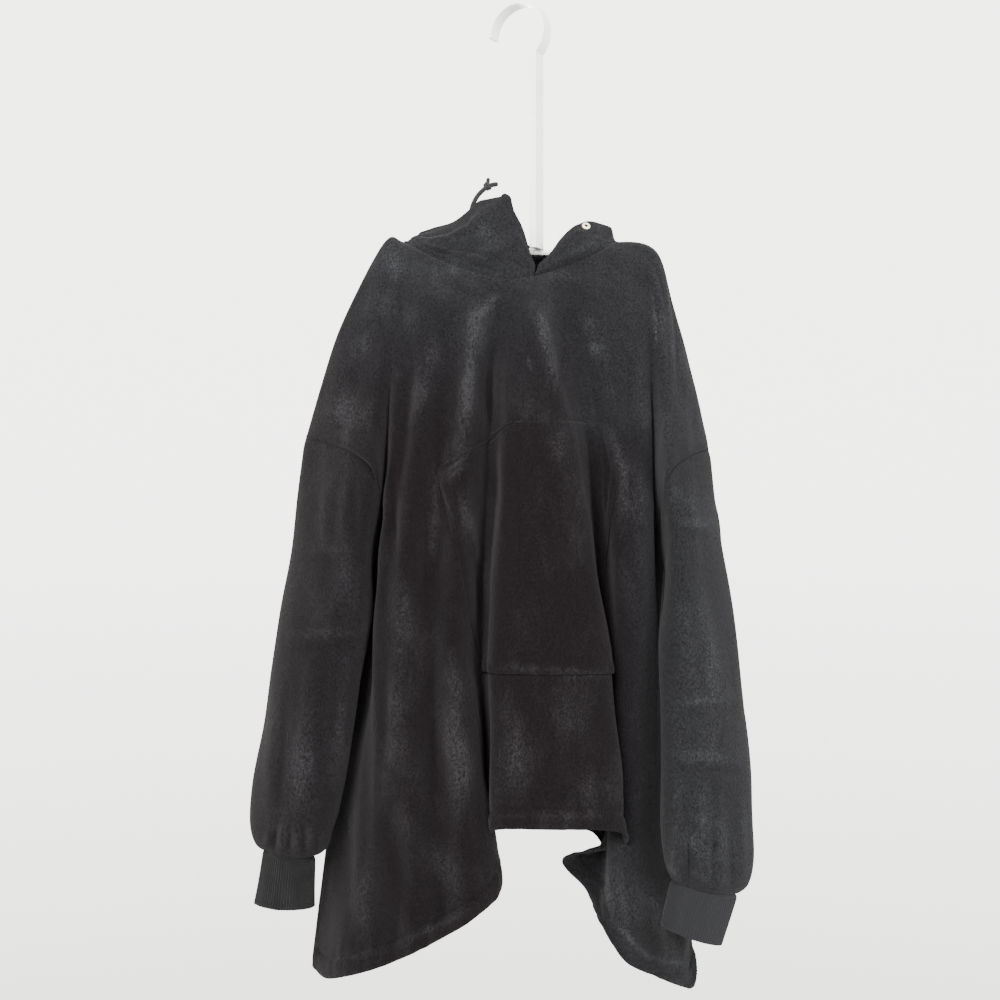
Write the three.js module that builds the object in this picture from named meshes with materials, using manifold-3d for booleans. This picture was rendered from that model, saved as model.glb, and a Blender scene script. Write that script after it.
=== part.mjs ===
// Wearable blanket hoodie of plush fleece, on a plain white bar hanger.
// Millimetres. X runs to the right as seen from the front, Y away from the viewer, Z up.
// The origin is the seat inside the top of the hanger's hook.
import * as THREE from "three";
import Module from "manifold-3d";

// Cloth
const FLEECE_WALL = 2.4;
const POCKET_WALL = 2.2;
const CUFF_WALL = 3.2;
const SEAM_GAP = 0.3;

// Neck opening: its middle, half width and the two necklines' drop and depth
const NECK_X = -13;
const NECK_HALF = 150;
const NECK_Z = -331;
const FRONT_NECK = { drop: 60, depth: -48 };
const BACK_NECK = { drop: 14, depth: 44 };
const LEFT_TIP_Z = -333;
const RIGHT_TIP_Z = -343;

// Heights at which every fold line of a panel is given
const YOKE_Z = -440;
const CHEST_Z = -560;
const WAIST_Z = -870;
const LOW_SHARE = 0.86;
const BACK_WING_SPREAD = 14; // how far the back's shoulder folds lie outside the front's
const BACK_WING_SHARE = 0.9; // the back's shoulder folds are this much as deep as the front's
const FLARE_HOLD = 0.25; // how far a flaring fold first leans the other way

// Rows of cloth between one height and the next: top, yoke, chest, waist, above the hem, hem
const ROW_STEPS = [4, 4, 6, 5, 2];
const COLUMN_STEPS = 2;

// Hanger
const HOOK_RADIUS = 40.5;
const HOOK_STRIP = 4;
const HOOK_WIDTH = 22;
const HOOK_TURN = THREE.MathUtils.degToRad(-30);
const STEM_X = 27;
const STEM_THICK = 10;
const STEM_END_Z = -342;
const HOOK_TIP = THREE.MathUtils.degToRad(180);
const BAR_RADIUS = 4.5;
const BAR_LEFT = [-184, -339.5];
const BAR_RIGHT = [184, -348.2];

// Drawstring and eyelets
const CORD = 6.5;
const CORD_SIDES_AND_STEPS = { sides: 10, steps: 8 };
const CORD_ROUTE = [
  [-76.9, -14.2, -309.2],
  [-75, -10.5, -309],
  [-72, -5, -302],
  [-68.5, -2, -291],
  [-65, -1, -278],
  [-58, 0, -265],
  [-48.7, 0, -255.8],
];
const KNOT_RADIUS = 5;
const TAIL_RADIUS = 2.4;
const KNOT_TAILS = [
  [-42, -1, -243],
  [-30, -3, -250],
];
const EYELET = { inner: 2.6, outer: 6, thick: 1.6, bevel: 0.4, edge: 1 };
const RIGHT_EYELET = { row: 1, column: 8 };
const LEFT_EYELET = { row: 1, column: 13 };

// A table: each row becomes an object with the named columns.
function table(names, rows) {
  const keys = names.split(" ");
  return rows.map((row) => Object.fromEntries(keys.map((key, i) => [key, row[i]])));
}

// Front fold lines across the body, from the left shoulder tip to the right one.
const FRONT_FOLDS = table("xTop xYoke yYoke xChest yChest xWaist yWaist xHem yHem zHem flare", [
  [-190, -177, -42, -172, -46, -197, -56, -196, -66, -1325, 0],
  [-163, -154, -50, -150, -54, -181, -72, -162, -74, -1309, 0],
  [-125, -126, -60, -133, -68, -158, -86, -132, -84, -1292, 0],
  [-98, -92, -54, -103, -58, -122, -70, -103, -76, -1279, 0],
  [-72, -62, -66, -73, -72, -91, -88, -67, -90, -1253, 0],
  [-54, -48, -58, -53, -58, -69, -72, -28, -64, -1222, 0],
  [-38, -36, -50, -40, -44, -56, -22, -35, -8, -1196, 0],
  [-22, -23, -56, -27, -58, -42, -42, -40, -42, -1161, 0],
  [-6, -8, -64, -11, -76, -35, -82, -35, -86, -1133, 0],
  [20, 10, -70, 23, -84, 36, -98, 36, -100, -1128, 0],
  [42, 27, -74, 55, -78, 109, -84, 130, -90, -1134, 0],
  [56, 46, -58, 68, -60, 113, -46, 139, -52, -1163, 0],
  [70, 64, -50, 84, -42, 110, 4, 112, 18, -1199, -50],
  [88, 89, -50, 103, -42, 126, -6, 116, 4, -1239, -22],
  [110, 117, -54, 125, -54, 134, -40, 116, -40, -1274, -4],
  [137, 147, -54, 153, -56, 158, -54, 142, -58, -1317, 0],
  [190, 178, -40, 178, -40, 184, -40, 185, -36, -1345, 0],
]);

// Fold lines of the drooping shoulders, from the armhole inwards, left and right.
const WING_COLUMNS =
  "xTop zTop xYoke yYoke zYoke xChest yChest zChest xWaist yWaist xLow xHem yHem zHem";
const LEFT_WING = table(WING_COLUMNS, [
  [-298, -604, -200, -70, -648, -207, 20, -759, -232, 24, -284, -291, 12, -1347],
  [-275, -524, -194, -62, -590, -190, 2, -712, -198, -2, -262, -269, -18, -1354],
  [-247, -442, -186, -50, -515, -185, -14, -647, -196, -28, -232, -234, -50, -1340],
]);
const RIGHT_WING = table(WING_COLUMNS, [
  [264, -621, 199, -74, -657, 209, 22, -764, 218, 36, 242, 249, 30, -1350],
  [240, -515, 196, -66, -594, 189, 6, -712, 198, 14, 237, 243, 12, -1377],
  [215, -420, 194, -56, -518, 182, -10, -650, 191, -10, 216, 220, -10, -1367],
]);

// Back fold lines across the body, from the right shoulder tip to the left one.
const BACK_FOLDS = table("xTop xYoke yYoke xChest yChest xWaist yWaist xHem yHem zHem flare", [
  [190, 178, 40, 178, 42, 180, 62, 184, 64, -1338, 0],
  [137, 146, 48, 150, 56, 152, 82, 148, 88, -1274, 0],
  [96, 104, 54, 112, 68, 122, 70, 118, 66, -1186, 0],
  [58, 62, 54, 74, 58, 88, 96, 78, 104, -1170, 0],
  [22, 24, 56, 32, 66, 44, 74, 34, 72, -1160, 0],
  [-14, -14, 56, -16, 64, -12, 100, -18, 108, -1160, 0],
  [-50, -52, 56, -62, 68, -70, 76, -64, 72, -1182, 0],
  [-86, -90, 54, -98, 58, -106, 98, -104, 102, -1222, 0],
  [-124, -130, 52, -134, 62, -144, 72, -140, 68, -1268, 0],
  [-163, -158, 46, -160, 54, -176, 84, -176, 84, -1304, 0],
  [-190, -178, 40, -176, 44, -198, 58, -202, 62, -1324, 0],
]);

// Sleeve sections from the armhole to the cuff: outer and inner edge, their heights,
// the depth of the middle, half the thickness, and how far the inner edge leans forward
const SLEEVE_COLUMNS = "xOuter zOuter xInner zInner yMiddle half lean";
const LEFT_SLEEVE = table(SLEEVE_COLUMNS, [
  [-297, -604, -207, -759, -4, 60, 0],
  [-308, -680, -216, -800, -14, 54, 20],
  [-324, -780, -209, -860, -20, 50, 28],
  [-342, -890, -218, -935, -24, 48, 28],
  [-359, -1010, -230, -1025, -26, 47, 26],
  [-371, -1090, -243, -1096, -28, 46, 22],
  [-374, -1138, -256, -1140, -28, 43, 18],
  [-366, -1164, -266, -1168, -28, 38, 12],
  [-350, -1172, -286, -1180, -28, 29, 6],
]);
const RIGHT_SLEEVE = table(SLEEVE_COLUMNS, [
  [264, -621, 209, -764, -4, 60, 0],
  [275, -700, 214, -805, -8, 54, 8],
  [295, -820, 192, -880, -28, 50, 30],
  [309, -935, 190, -965, -36, 48, 30],
  [317, -1050, 189, -1050, -46, 46, 28],
  [318, -1130, 188, -1115, -54, 45, 24],
  [317, -1180, 190, -1152, -60, 42, 18],
  [308, -1212, 196, -1182, -63, 37, 12],
  [290, -1224, 207, -1204, -65, 29, 6],
]);

// Cuff sections below the sleeve's end, in the same columns
const LEFT_CUFF = table(SLEEVE_COLUMNS, [
  [-353, -1182, -284, -1189, -28, 27, 6],
  [-359, -1216, -284, -1219, -28, 26, 6],
  [-364, -1249, -285, -1250, -28, 25, 6],
]);
const RIGHT_CUFF = table(SLEEVE_COLUMNS, [
  [290, -1232, 203, -1214, -66, 27, 6],
  [281, -1262, 196, -1239, -68, 26, 6],
  [271, -1292, 191, -1263, -69, 25, 6],
]);

// Hood lines from rim to neck, round the neck from the back seam to the front or the other way
// rim position, how far the cloth swells from the neck, and how deep its pouch hangs
const HOOD_STEPS = [2, 3, 3, 2, 1];
const HOOD_ROLL = 12; // how far the hood stands at the back neck before it falls back
const LEFT_HOOD = table("xRim yRim zRim swell drop", [
  [-14, 126, -352, 74, 236],
  [-46, 120, -348, 70, 214],
  [-78, 104, -338, 58, 150],
  [-106, 74, -326, 46, 56],
  [-140, 22, -319, 12, 0],
  [-122, -2, -312, -10, 0],
  [-92, -8, -304, -12, 0],
  [-66, -10, -286, -14, 0],
  [-56, -12, -277, -14, 0],
  [-42, -14, -274, -14, 0],
  [-27, -18, -272, -14, 0],
  [-13, -24, -271, -12, 0],
  [20, -44, -370, -4, 0],
]);
const RIGHT_HOOD = table("xRim yRim zRim swell drop", [
  [26, -44, -370, -4, 0],
  [44, -36, -352, -8, 0],
  [58, -30, -331, -12, 0],
  [74, -24, -316, -16, 0],
  [92, -18, -306, -14, 0],
  [112, -10, -306, -8, 0],
  [131, 14, -312, 12, 0],
  [98, 74, -328, 46, 56],
  [56, 104, -340, 58, 150],
  [18, 120, -349, 70, 214],
  [-14, 126, -352, 74, 236],
]);

// Pocket outline on the front panel: share of the way across and down the panel's net
const POCKET_OUTLINE = table("across down", [
  [11, 2.11],
  [7.4, 2.24],
  [5.9, 2.34],
  [9.1, 3.24],
  [14.1, 3.24],
  [16.9, 2.5],
  [17.3, 2.3],
  [16.5, 2.12],
]);

// Helpers: a cubic curve through listed points, and smooth steps.
const cubic = (a, b, c, d, t) =>
  b + 0.5 * t * (c - a + t * (2 * a - 5 * b + 4 * c - d + t * (3 * (b - c) + d - a)));
const vector = (x, y, z) => new THREE.Vector3(x, y, z);
const between = (a, b, t) => a.clone().lerp(b, t);
const beyond = (end, inside) => end.clone().multiplyScalar(2).sub(inside);
const smooth = (t) => THREE.MathUtils.smoothstep(t, 0, 1);

// Points along a cubic curve through knots, with steps[i] stretches after knot i.
function curvePoints(knots, steps, before, after) {
  const first = before ?? beyond(knots[0], knots[1]);
  const last = after ?? beyond(knots.at(-1), knots.at(-2));
  const all = [first, ...knots, last];
  const points = [];
  steps.forEach((count, i) => {
    const [a, b, c, d] = all.slice(i, i + 4);
    for (let k = 0; k < count; k++) {
      const t = k / count;
      const axes = ["x", "y", "z"].map((axis) => cubic(a[axis], b[axis], c[axis], d[axis], t));
      points.push(vector(...axes));
    }
  });
  points.push(knots.at(-1).clone());
  return points;
}

// The height and depth of a neckline at x.
function necklinePoint(x, neck) {
  const share = Math.min(1, Math.abs(x - NECK_X) / NECK_HALF);
  return vector(x, neck.depth * (1 - share ** 2), NECK_Z - neck.drop * (1 - share ** 1.6));
}

// A body fold line as knots at top, yoke, chest, waist, above the hem and hem.
function bodyLine(row, neck) {
  const tip = Math.abs(row.xTop - NECK_X) > NECK_HALF + 1;
  const tipZ = row.xTop < 0 ? LEFT_TIP_Z : RIGHT_TIP_Z;
  const top = tip ? vector(row.xTop, 0, tipZ) : necklinePoint(row.xTop, neck);
  const yoke = vector(row.xYoke, row.yYoke, YOKE_Z);
  const chest = vector(row.xChest, row.yChest, CHEST_Z);
  const waist = vector(row.xWaist, row.yWaist, WAIST_Z);
  const hem = vector(row.xHem, row.yHem, row.zHem);
  const low = between(waist, hem, LOW_SHARE);
  low.x -= row.flare * FLARE_HOLD;
  hem.x += row.flare;
  return [top, yoke, chest, waist, low, hem];
}

// A shoulder and side fold line. The back's lines swell the other way, to a share of the front's.
function wingLine(row, back, seam) {
  const depth = (y, middle) => (back ? middle + (middle - y) * BACK_WING_SHARE : y);
  const sideY = seam.yWaist;
  const top = vector(row.xTop, 0, row.zTop);
  const outside = back ? Math.sign(row.xTop) * BACK_WING_SPREAD : 0;
  const yoke = vector(row.xYoke + outside, depth(row.yYoke, 0), row.zYoke);
  const chest = vector(row.xChest, depth(row.yChest, seam.yChest), row.zChest);
  const waist = vector(row.xWaist, depth(row.yWaist, sideY), WAIST_Z);
  const hem = vector(row.xHem, depth(row.yHem, seam.yHem), row.zHem);
  const low = between(waist, hem, LOW_SHARE);
  low.x = row.xLow;
  return [top, yoke, chest, waist, low, hem];
}

// The whole net of a panel, with its columns in the order that faces its outside.
function panelNet(back) {
  const wing = (rows) => rows.map((row) => wingLine(row, back, rows[0]));
  const body = (back ? BACK_FOLDS : FRONT_FOLDS).map((row) =>
    bodyLine(row, back ? BACK_NECK : FRONT_NECK),
  );
  return back
    ? [...wing(RIGHT_WING), ...body, ...wing(LEFT_WING).reverse()]
    : [...wing(LEFT_WING), ...body, ...wing(RIGHT_WING).reverse()];
}

const WINGS = LEFT_WING.length;
const SHOULDER_LINES = WINGS + 2;
const ARMHOLE_ROWS = ROW_STEPS[0] + ROW_STEPS[1];

// A panel's points in rows from the top down. Its ridge and sides run smoothly into the
// other panel: their curves use that panel's next line as the point beyond the edge.
function panelGrid(net, other) {
  const last = net.length - 1;
  const onRidge = (i, count) => i < SHOULDER_LINES || i >= count - SHOULDER_LINES;
  const line = (knots, beyondTop) => curvePoints(knots, ROW_STEPS, beyondTop);
  const mirror = (i) => (i < SHOULDER_LINES ? other.length - 1 - i : last - i);
  const columns = net.map((knots, i) =>
    line(knots, onRidge(i, net.length) ? other[mirror(i)][1] : undefined),
  );
  const start = line(other.at(-2), net[1][1]);
  const end = line(other[1], net.at(-2)[1]);
  const steps = Array(last).fill(COLUMN_STEPS);
  return columns[0].map((_, r) =>
    curvePoints(
      columns.map((column) => column[r]),
      steps,
      start[r],
      end[r],
    ),
  );
}

// Draws two panels' edges to their common seam, with less and less shift over the next columns.
function meetAtSeam(a, b, r, columnA, columnB, reach) {
  const middle = between(a[r][columnA], b[r][columnB], 0.5);
  [
    [a, columnA],
    [b, columnB],
  ].forEach(([grid, column]) => {
    const shift = middle.clone().sub(grid[r][column]);
    const inward = column ? -1 : 1;
    for (let k = 0; k < reach; k++) {
      grid[r][column + inward * k].addScaledVector(shift, 1 - k / reach);
    }
  });
}

// A section through a sleeve or cuff: a leaning oval from its left edge through the front.
function sectionPoint(row, side, turn) {
  const left = side < 0 ? row.xOuter : row.xInner;
  const right = side < 0 ? row.xInner : row.xOuter;
  const across = (1 - Math.cos(turn)) / 2;
  const inner = side < 0 ? across : 1 - across;
  return vector(
    THREE.MathUtils.lerp(left, right, across),
    row.yMiddle - row.half * Math.sin(turn) - row.lean * (2 * inner - 1),
    THREE.MathUtils.lerp(row.zOuter, row.zInner, inner),
  );
}

// Rings of a tube through its table of sections, from a ring that it is sewn to.
function tubeGrid(rows, side, sewn, steps, fade) {
  const turns = sewn.map((_, j) => (2 * Math.PI * j) / sewn.length);
  const lines = turns.map((turn) =>
    curvePoints(
      rows.map((row) => sectionPoint(row, side, turn)),
      Array(rows.length - 1).fill(steps),
    ),
  );
  const shifts = lines.map((line, j) => sewn[j].clone().sub(line[0]));
  return lines[0].map((_, r) => {
    const left = 1 - smooth(Math.min(1, r / fade));
    return lines.map((line, j) => line[r].clone().addScaledVector(shifts[j], left));
  });
}

// Hood lines from the rim to the neck: rim, outer side, pouch bottom, inner side, neck.
function hoodGrid(rows, neck) {
  const knots = neck.filter((_, i) => i % COLUMN_STEPS === 0);
  const lines = rows.map((row, i) => {
    const neckPoint = knots[i];
    const rim = vector(row.xRim, row.yRim, row.zRim);
    const swollen = (share, swell) => {
      const point = between(rim, neckPoint, share);
      point.y += row.swell * swell;
      return point;
    };
    if (!row.drop) {
      const standing = [swollen(0.3, 0.6), swollen(0.6, 0.8), swollen(0.82, 0.55), swollen(0.94, 0.2)];
      return curvePoints([rim, ...standing, neckPoint], HOOD_STEPS);
    }
    const below = (swell, drop) => neckPoint.clone().add(vector(0, row.swell * swell, -drop));
    const bottom = below(1, row.drop);
    const outer = between(rim, bottom, 0.5).add(vector(0, row.swell * 0.35, 0));
    const hanging = [outer, bottom, below(0.62, row.drop * 0.5), below(0.2, -HOOD_ROLL)];
    return curvePoints([rim, ...hanging, neckPoint], HOOD_STEPS);
  });
  const last = lines[0].length - 1;
  const grid = lines[0].map((_, r) =>
    curvePoints(
      lines.map((line) => line[r]),
      Array(rows.length - 1).fill(COLUMN_STEPS),
    ),
  );
  return grid.map((ring, r) =>
    ring.map((point, i) => {
      const shift = neck[i].clone().sub(grid[last][i]);
      return point.addScaledVector(shift, smooth(r / last));
    }),
  );
}

// A sheet is a list of points with their outward directions, and triangles that join them.
function gridSheet(grid, closed = false) {
  const width = grid[0].length;
  const columns = closed ? width : width - 1;
  const triangles = [];
  for (let r = 0; r + 1 < grid.length; r++) {
    for (let c = 0; c < columns; c++) {
      const next = (c + 1) % width;
      const [a, d] = [r * width + c, r * width + next];
      const [b, e] = [a + width, d + width];
      const slash = c < columns / 2;
      triangles.push(...(slash ? [[a, b, d], [d, b, e]] : [[a, b, e], [a, e, d]]));
    }
  }
  return outwardSheet(grid.flat(), triangles);
}

// Works out each point's outward direction from the triangles round it.
function outwardSheet(points, triangles) {
  const outward = points.map(() => vector(0, 0, 0));
  for (const corners of triangles) {
    const [p, q, s] = corners.map((i) => points[i]);
    const face = q.clone().sub(p).cross(s.clone().sub(p));
    corners.forEach((i) => outward[i].add(face));
  }
  outward.forEach((direction) => direction.normalize());
  return { points, outward, triangles };
}

// The edges that only one triangle uses, in its own direction, with its third corner.
function openEdges(triangles) {
  const edges = new Map();
  for (const [a, b, c] of triangles) {
    [[a, b, c], [b, c, a], [c, a, b]].forEach(([from, to, third]) => {
      if (!edges.delete(`${to} ${from}`)) edges.set(`${from} ${to}`, [from, to, third]);
    });
  }
  return [...edges.values()];
}

// Points of several sheets that lie together share one outward direction, and each sheet's
// edge there is drawn back by half the gap.
function sew(sheets) {
  const seams = new Map();
  const edges = sheets.map((sheet) => openEdges(sheet.triangles));
  sheets.forEach((sheet, s) => {
    for (const i of new Set(edges[s].map(([from]) => from))) {
      const key = sheet.points[i].toArray().map((v) => Math.round(v * 50)).join(" ");
      seams.set(key, [...(seams.get(key) ?? []), [sheet, i]]);
    }
  });
  const shared = sheets.map(() => new Set());
  for (const group of seams.values()) {
    if (group.length < 2) continue;
    const sum = vector(0, 0, 0);
    group.forEach(([sheet, i]) => sum.add(sheet.outward[i]));
    sum.normalize();
    for (const [sheet, i] of group) {
      sheet.outward[i].copy(sum);
      shared[sheets.indexOf(sheet)].add(i);
    }
  }
  sheets.forEach((sheet, s) => drawBack(sheet, edges[s], shared[s]));
}

// Moves the shared edge points into their own sheet, so that every edge there moves by half the gap.
function drawBack(sheet, edges, shared) {
  const inward = new Map();
  for (const [from, to, third] of edges) {
    const along = sheet.points[to].clone().sub(sheet.points[from]).normalize();
    const direction = sheet.points[third].clone().sub(sheet.points[from]);
    direction.addScaledVector(along, -direction.dot(along)).normalize();
    for (const i of [from, to]) inward.set(i, [...(inward.get(i) ?? []), direction]);
  }
  const moves = [...shared].map((i) => {
    const [a, b] = inward.get(i);
    const move = a.clone().add(b).multiplyScalar(SEAM_GAP / 2 / (1 + a.dot(b)));
    return [i, move];
  });
  moves.forEach(([i, move]) => sheet.points[i].add(move));
}

// A closed wall between two distances from the sheet, measured along its outward directions.
function wall(sheet, inside, outside) {
  const count = sheet.points.length;
  const side = (distance) =>
    sheet.points.map((p, i) => p.clone().addScaledVector(sheet.outward[i], distance));
  const corners = [...side(outside), ...side(inside)];
  const faces = sheet.triangles.map((t) => [...t]);
  sheet.triangles.forEach(([a, b, c]) => faces.push([a + count, c + count, b + count]));
  const rank = (i) => sheet.points[i].z + sheet.points[i].x * 0.37;
  for (const [from, to] of openEdges(sheet.triangles)) {
    const strip =
      rank(from) < rank(to)
        ? [[to, from, to + count], [from, from + count, to + count]]
        : [[to, from, from + count], [to, from + count, to + count]];
    faces.push(...strip);
  }
  return solidGeometry(corners, faces);
}

function solidGeometry(corners, faces) {
  const geometry = new THREE.BufferGeometry();
  geometry.setFromPoints(corners);
  geometry.setIndex(faces.flat());
  geometry.computeVertexNormals();
  return geometry;
}

// The part of a sheet inside an outline that bulges outwards everywhere. places holds each
// point's own two coordinates on the sheet, which the outline is given in.
function cutOut(sheet, places, outline) {
  const made = new Map();
  const points = [];
  const outward = [];
  const triangles = [];
  const add = (corner) => {
    const key = corner.place.map((v) => v.toFixed(5)).join(" ");
    if (!made.has(key)) {
      made.set(key, points.length);
      points.push(corner.point);
      outward.push(corner.outward);
    }
    return made.get(key);
  };
  for (const triangle of sheet.triangles) {
    let corners = triangle.map((i) => ({
      place: places[i],
      point: sheet.points[i].clone(),
      outward: sheet.outward[i].clone(),
    }));
    outline.forEach((from, i) => {
      corners = clip(corners, from, outline[(i + 1) % outline.length]);
    });
    const ids = corners.map(add).filter((id, i, all) => id !== all[(i + 1) % all.length]);
    for (let i = 1; i + 1 < ids.length; i++) triangles.push([ids[0], ids[i], ids[i + 1]]);
  }
  return { points, outward, triangles };
}

// Keeps the part of a polygon on the inner side of one outline edge.
function clip(corners, from, to) {
  const across = to.across - from.across;
  const down = to.down - from.down;
  const height = ({ place: [u, v] }) => across * (v - from.down) - down * (u - from.across);
  const kept = [];
  corners.forEach((corner, i) => {
    const next = corners[(i + 1) % corners.length];
    const [here, there] = [height(corner), height(next)];
    if (here <= 0) kept.push(corner);
    if (here * there < 0) {
      const t = here / (here - there);
      kept.push({
        place: corner.place.map((v, k) => v + (next.place[k] - v) * t),
        point: between(corner.point, next.point, t),
        outward: between(corner.outward, next.outward, t),
      });
    }
  });
  return kept;
}

// Panels and their seams
const frontNet = panelNet(false);
const backNet = panelNet(true);
const front = panelGrid(frontNet, backNet);
const back = panelGrid(backNet, frontNet);
const frontEnd = front[0].length - 1;
const backEnd = back[0].length - 1;
const SHOULDER_POINTS = (SHOULDER_LINES - 1) * COLUMN_STEPS;
for (let c = 0; c <= SHOULDER_POINTS; c++) {
  const pairs = [
    [front[0][c], back[0][backEnd - c]],
    [front[0][frontEnd - c], back[0][c]],
  ];
  pairs.forEach(([a, b]) => {
    a.lerp(b, 0.5);
    a.y = 0;
    b.copy(a);
  });
}
for (let r = ARMHOLE_ROWS; r < front.length; r++) {
  meetAtSeam(front, back, r, 0, backEnd, 4);
  meetAtSeam(front, back, r, frontEnd, 0, 4);
}

// Sleeves and cuffs, sewn to the armholes and to each other
const downEdge = (grid, column) => grid.slice(0, ARMHOLE_ROWS + 1).map((row) => row[column]);
const leftArmhole = [
  ...downEdge(front, 0).slice(0, -1),
  ...downEdge(back, backEnd).reverse().slice(0, -1),
];
const rightArmhole = [
  ...downEdge(front, frontEnd).reverse().slice(0, -1),
  ...downEdge(back, 0).slice(0, -1),
];
const SLEEVE_STEPS = 2;
const SLEEVE_FADE = 6;
const CUFF_FADE = 1;
const leftSleeve = tubeGrid(LEFT_SLEEVE, -1, leftArmhole, SLEEVE_STEPS, SLEEVE_FADE);
const rightSleeve = tubeGrid(RIGHT_SLEEVE, 1, rightArmhole, SLEEVE_STEPS, SLEEVE_FADE);
const leftCuff = tubeGrid([LEFT_SLEEVE.at(-1), ...LEFT_CUFF], -1, leftSleeve.at(-1), 1, CUFF_FADE);
const rightCuff = tubeGrid([RIGHT_SLEEVE.at(-1), ...RIGHT_CUFF], 1, rightSleeve.at(-1), 1, CUFF_FADE);

// Hood halves, sewn to the necklines from the back seam to the front and on to the back
const CENTRE_LINE = WINGS + 9;
const frontNeck = front[0].slice(SHOULDER_POINTS, frontEnd - SHOULDER_POINTS + 1);
const backNeck = back[0].slice(SHOULDER_POINTS, backEnd - SHOULDER_POINTS + 1);
const frontMiddle = CENTRE_LINE * COLUMN_STEPS - SHOULDER_POINTS;
const backMiddle = (backNeck.length - 1) / 2;
const leftHood = hoodGrid(LEFT_HOOD, [
  ...backNeck.slice(backMiddle),
  ...frontNeck.slice(1, frontMiddle + 1),
]);
const rightHood = hoodGrid(RIGHT_HOOD, [
  ...frontNeck.slice(frontMiddle),
  ...backNeck.slice(1, backMiddle + 1),
]);

const sheets = {
  front: gridSheet(front),
  back: gridSheet(back),
  sleeve_left: gridSheet(leftSleeve, true),
  sleeve_right: gridSheet(rightSleeve, true),
  cuff_left: gridSheet(leftCuff, true),
  cuff_right: gridSheet(rightCuff, true),
  hood_left: gridSheet(leftHood),
  hood_right: gridSheet(rightHood),
};
sew(Object.values(sheets));

// Pocket: the front panel's own facets inside the pocket's outline, moved out
const rowPlaces = ROW_STEPS.flatMap((count, i) =>
  Array.from({ length: count }, (_, k) => i + k / count),
).concat(ROW_STEPS.length);
const frontPlaces = rowPlaces.flatMap((down) =>
  front[0].map((_, c) => [c / COLUMN_STEPS, down]),
);
const pocket = cutOut(sheets.front, frontPlaces, POCKET_OUTLINE);
const pocketInside = FLEECE_WALL / 2 + SEAM_GAP;

// Materials
const fleece = { color: 0x1d1b1e, roughness: 0.95 };
const rib = { color: 0x18181a, roughness: 1 };
const plastic = { color: 0xe9e9e6, roughness: 0.4 };
const metal = { color: 0xd8c9a8, roughness: 0.35, metalness: 0.8 };
const braid = { color: 0x141415, roughness: 0.9 };

const garment = new THREE.Group();
function add(name, geometry, look) {
  const mesh = new THREE.Mesh(geometry, new THREE.MeshStandardMaterial(look));
  mesh.name = name;
  garment.add(mesh);
  return mesh;
}

for (const [name, sheet] of Object.entries(sheets)) {
  const cuff = name.startsWith("cuff");
  const half = (cuff ? CUFF_WALL : FLEECE_WALL) / 2;
  add(name, wall(sheet, -half, half), cuff ? rib : fleece);
}
add("pocket", wall(pocket, pocketInside, pocketInside + POCKET_WALL), fleece);

// Hanger: the hook is a flat strip whose two arcs run into the stem's two sides
function hookShape() {
  const outer = HOOK_RADIUS + HOOK_STRIP;
  const [left, right] = [STEM_X - STEM_THICK / 2, STEM_X + STEM_THICK / 2];
  const shape = new THREE.Shape();
  shape.absarc(0, -HOOK_RADIUS, HOOK_RADIUS, HOOK_TIP, -Math.acos(left / HOOK_RADIUS), true);
  shape.lineTo(left, STEM_END_Z);
  shape.lineTo(right, STEM_END_Z);
  shape.absarc(0, -HOOK_RADIUS, outer, -Math.acos(right / outer), HOOK_TIP, false);
  return shape;
}

function hookGeometry() {
  const geometry = new THREE.ExtrudeGeometry(hookShape(), {
    depth: HOOK_WIDTH,
    bevelEnabled: false,
    curveSegments: 18,
  });
  return geometry.translate(0, 0, -HOOK_WIDTH / 2).rotateX(Math.PI / 2).rotateZ(HOOK_TURN);
}

// The bar that the shoulders hang on: a round rod with round ends, as uneven as the shoulders
function barGeometry() {
  const [[left, leftZ], [right, rightZ]] = [BAR_LEFT, BAR_RIGHT];
  const length = Math.hypot(right - left, rightZ - leftZ) - 2 * BAR_RADIUS;
  const rod = new THREE.CapsuleGeometry(BAR_RADIUS, length, 4, 12);
  rod.rotateZ(Math.PI / 2).rotateY(-Math.atan2(rightZ - leftZ, right - left));
  return rod.translate((left + right) / 2, 0, (leftZ + rightZ) / 2);
}

// A closed geometry as a solid, and a solid as a geometry
const wasm = await Module();
wasm.setup();
function solidOf(geometry) {
  const { array, count } = geometry.getAttribute("position");
  const mesh = new wasm.Mesh({
    numProp: 3,
    vertProperties: new Float32Array(array),
    triVerts: new Uint32Array(geometry.index?.array ?? Array(count).keys()),
  });
  mesh.merge();
  return new wasm.Manifold(mesh);
}

function geometryOf(solid) {
  const { vertProperties, triVerts } = solid.getMesh();
  const geometry = new THREE.BufferGeometry();
  geometry.setAttribute("position", new THREE.BufferAttribute(vertProperties, 3));
  geometry.setIndex(new THREE.BufferAttribute(triVerts, 1));
  geometry.computeVertexNormals();
  return geometry;
}
add("hanger", geometryOf(solidOf(hookGeometry()).add(solidOf(barGeometry()))), plastic);

// Eyelets: flat rings on the hood, one on each half near its rim
function eyeletGeometry() {
  const { inner, outer, thick, bevel, edge } = EYELET;
  const crown = [(inner + outer) / 2, thick];
  const profile = [[inner, 0], [outer, 0], [outer - bevel, edge], crown, [inner, edge], [inner, 0]];
  return new THREE.LatheGeometry(profile.map(([r, y]) => new THREE.Vector2(r, y)), 18);
}

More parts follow.
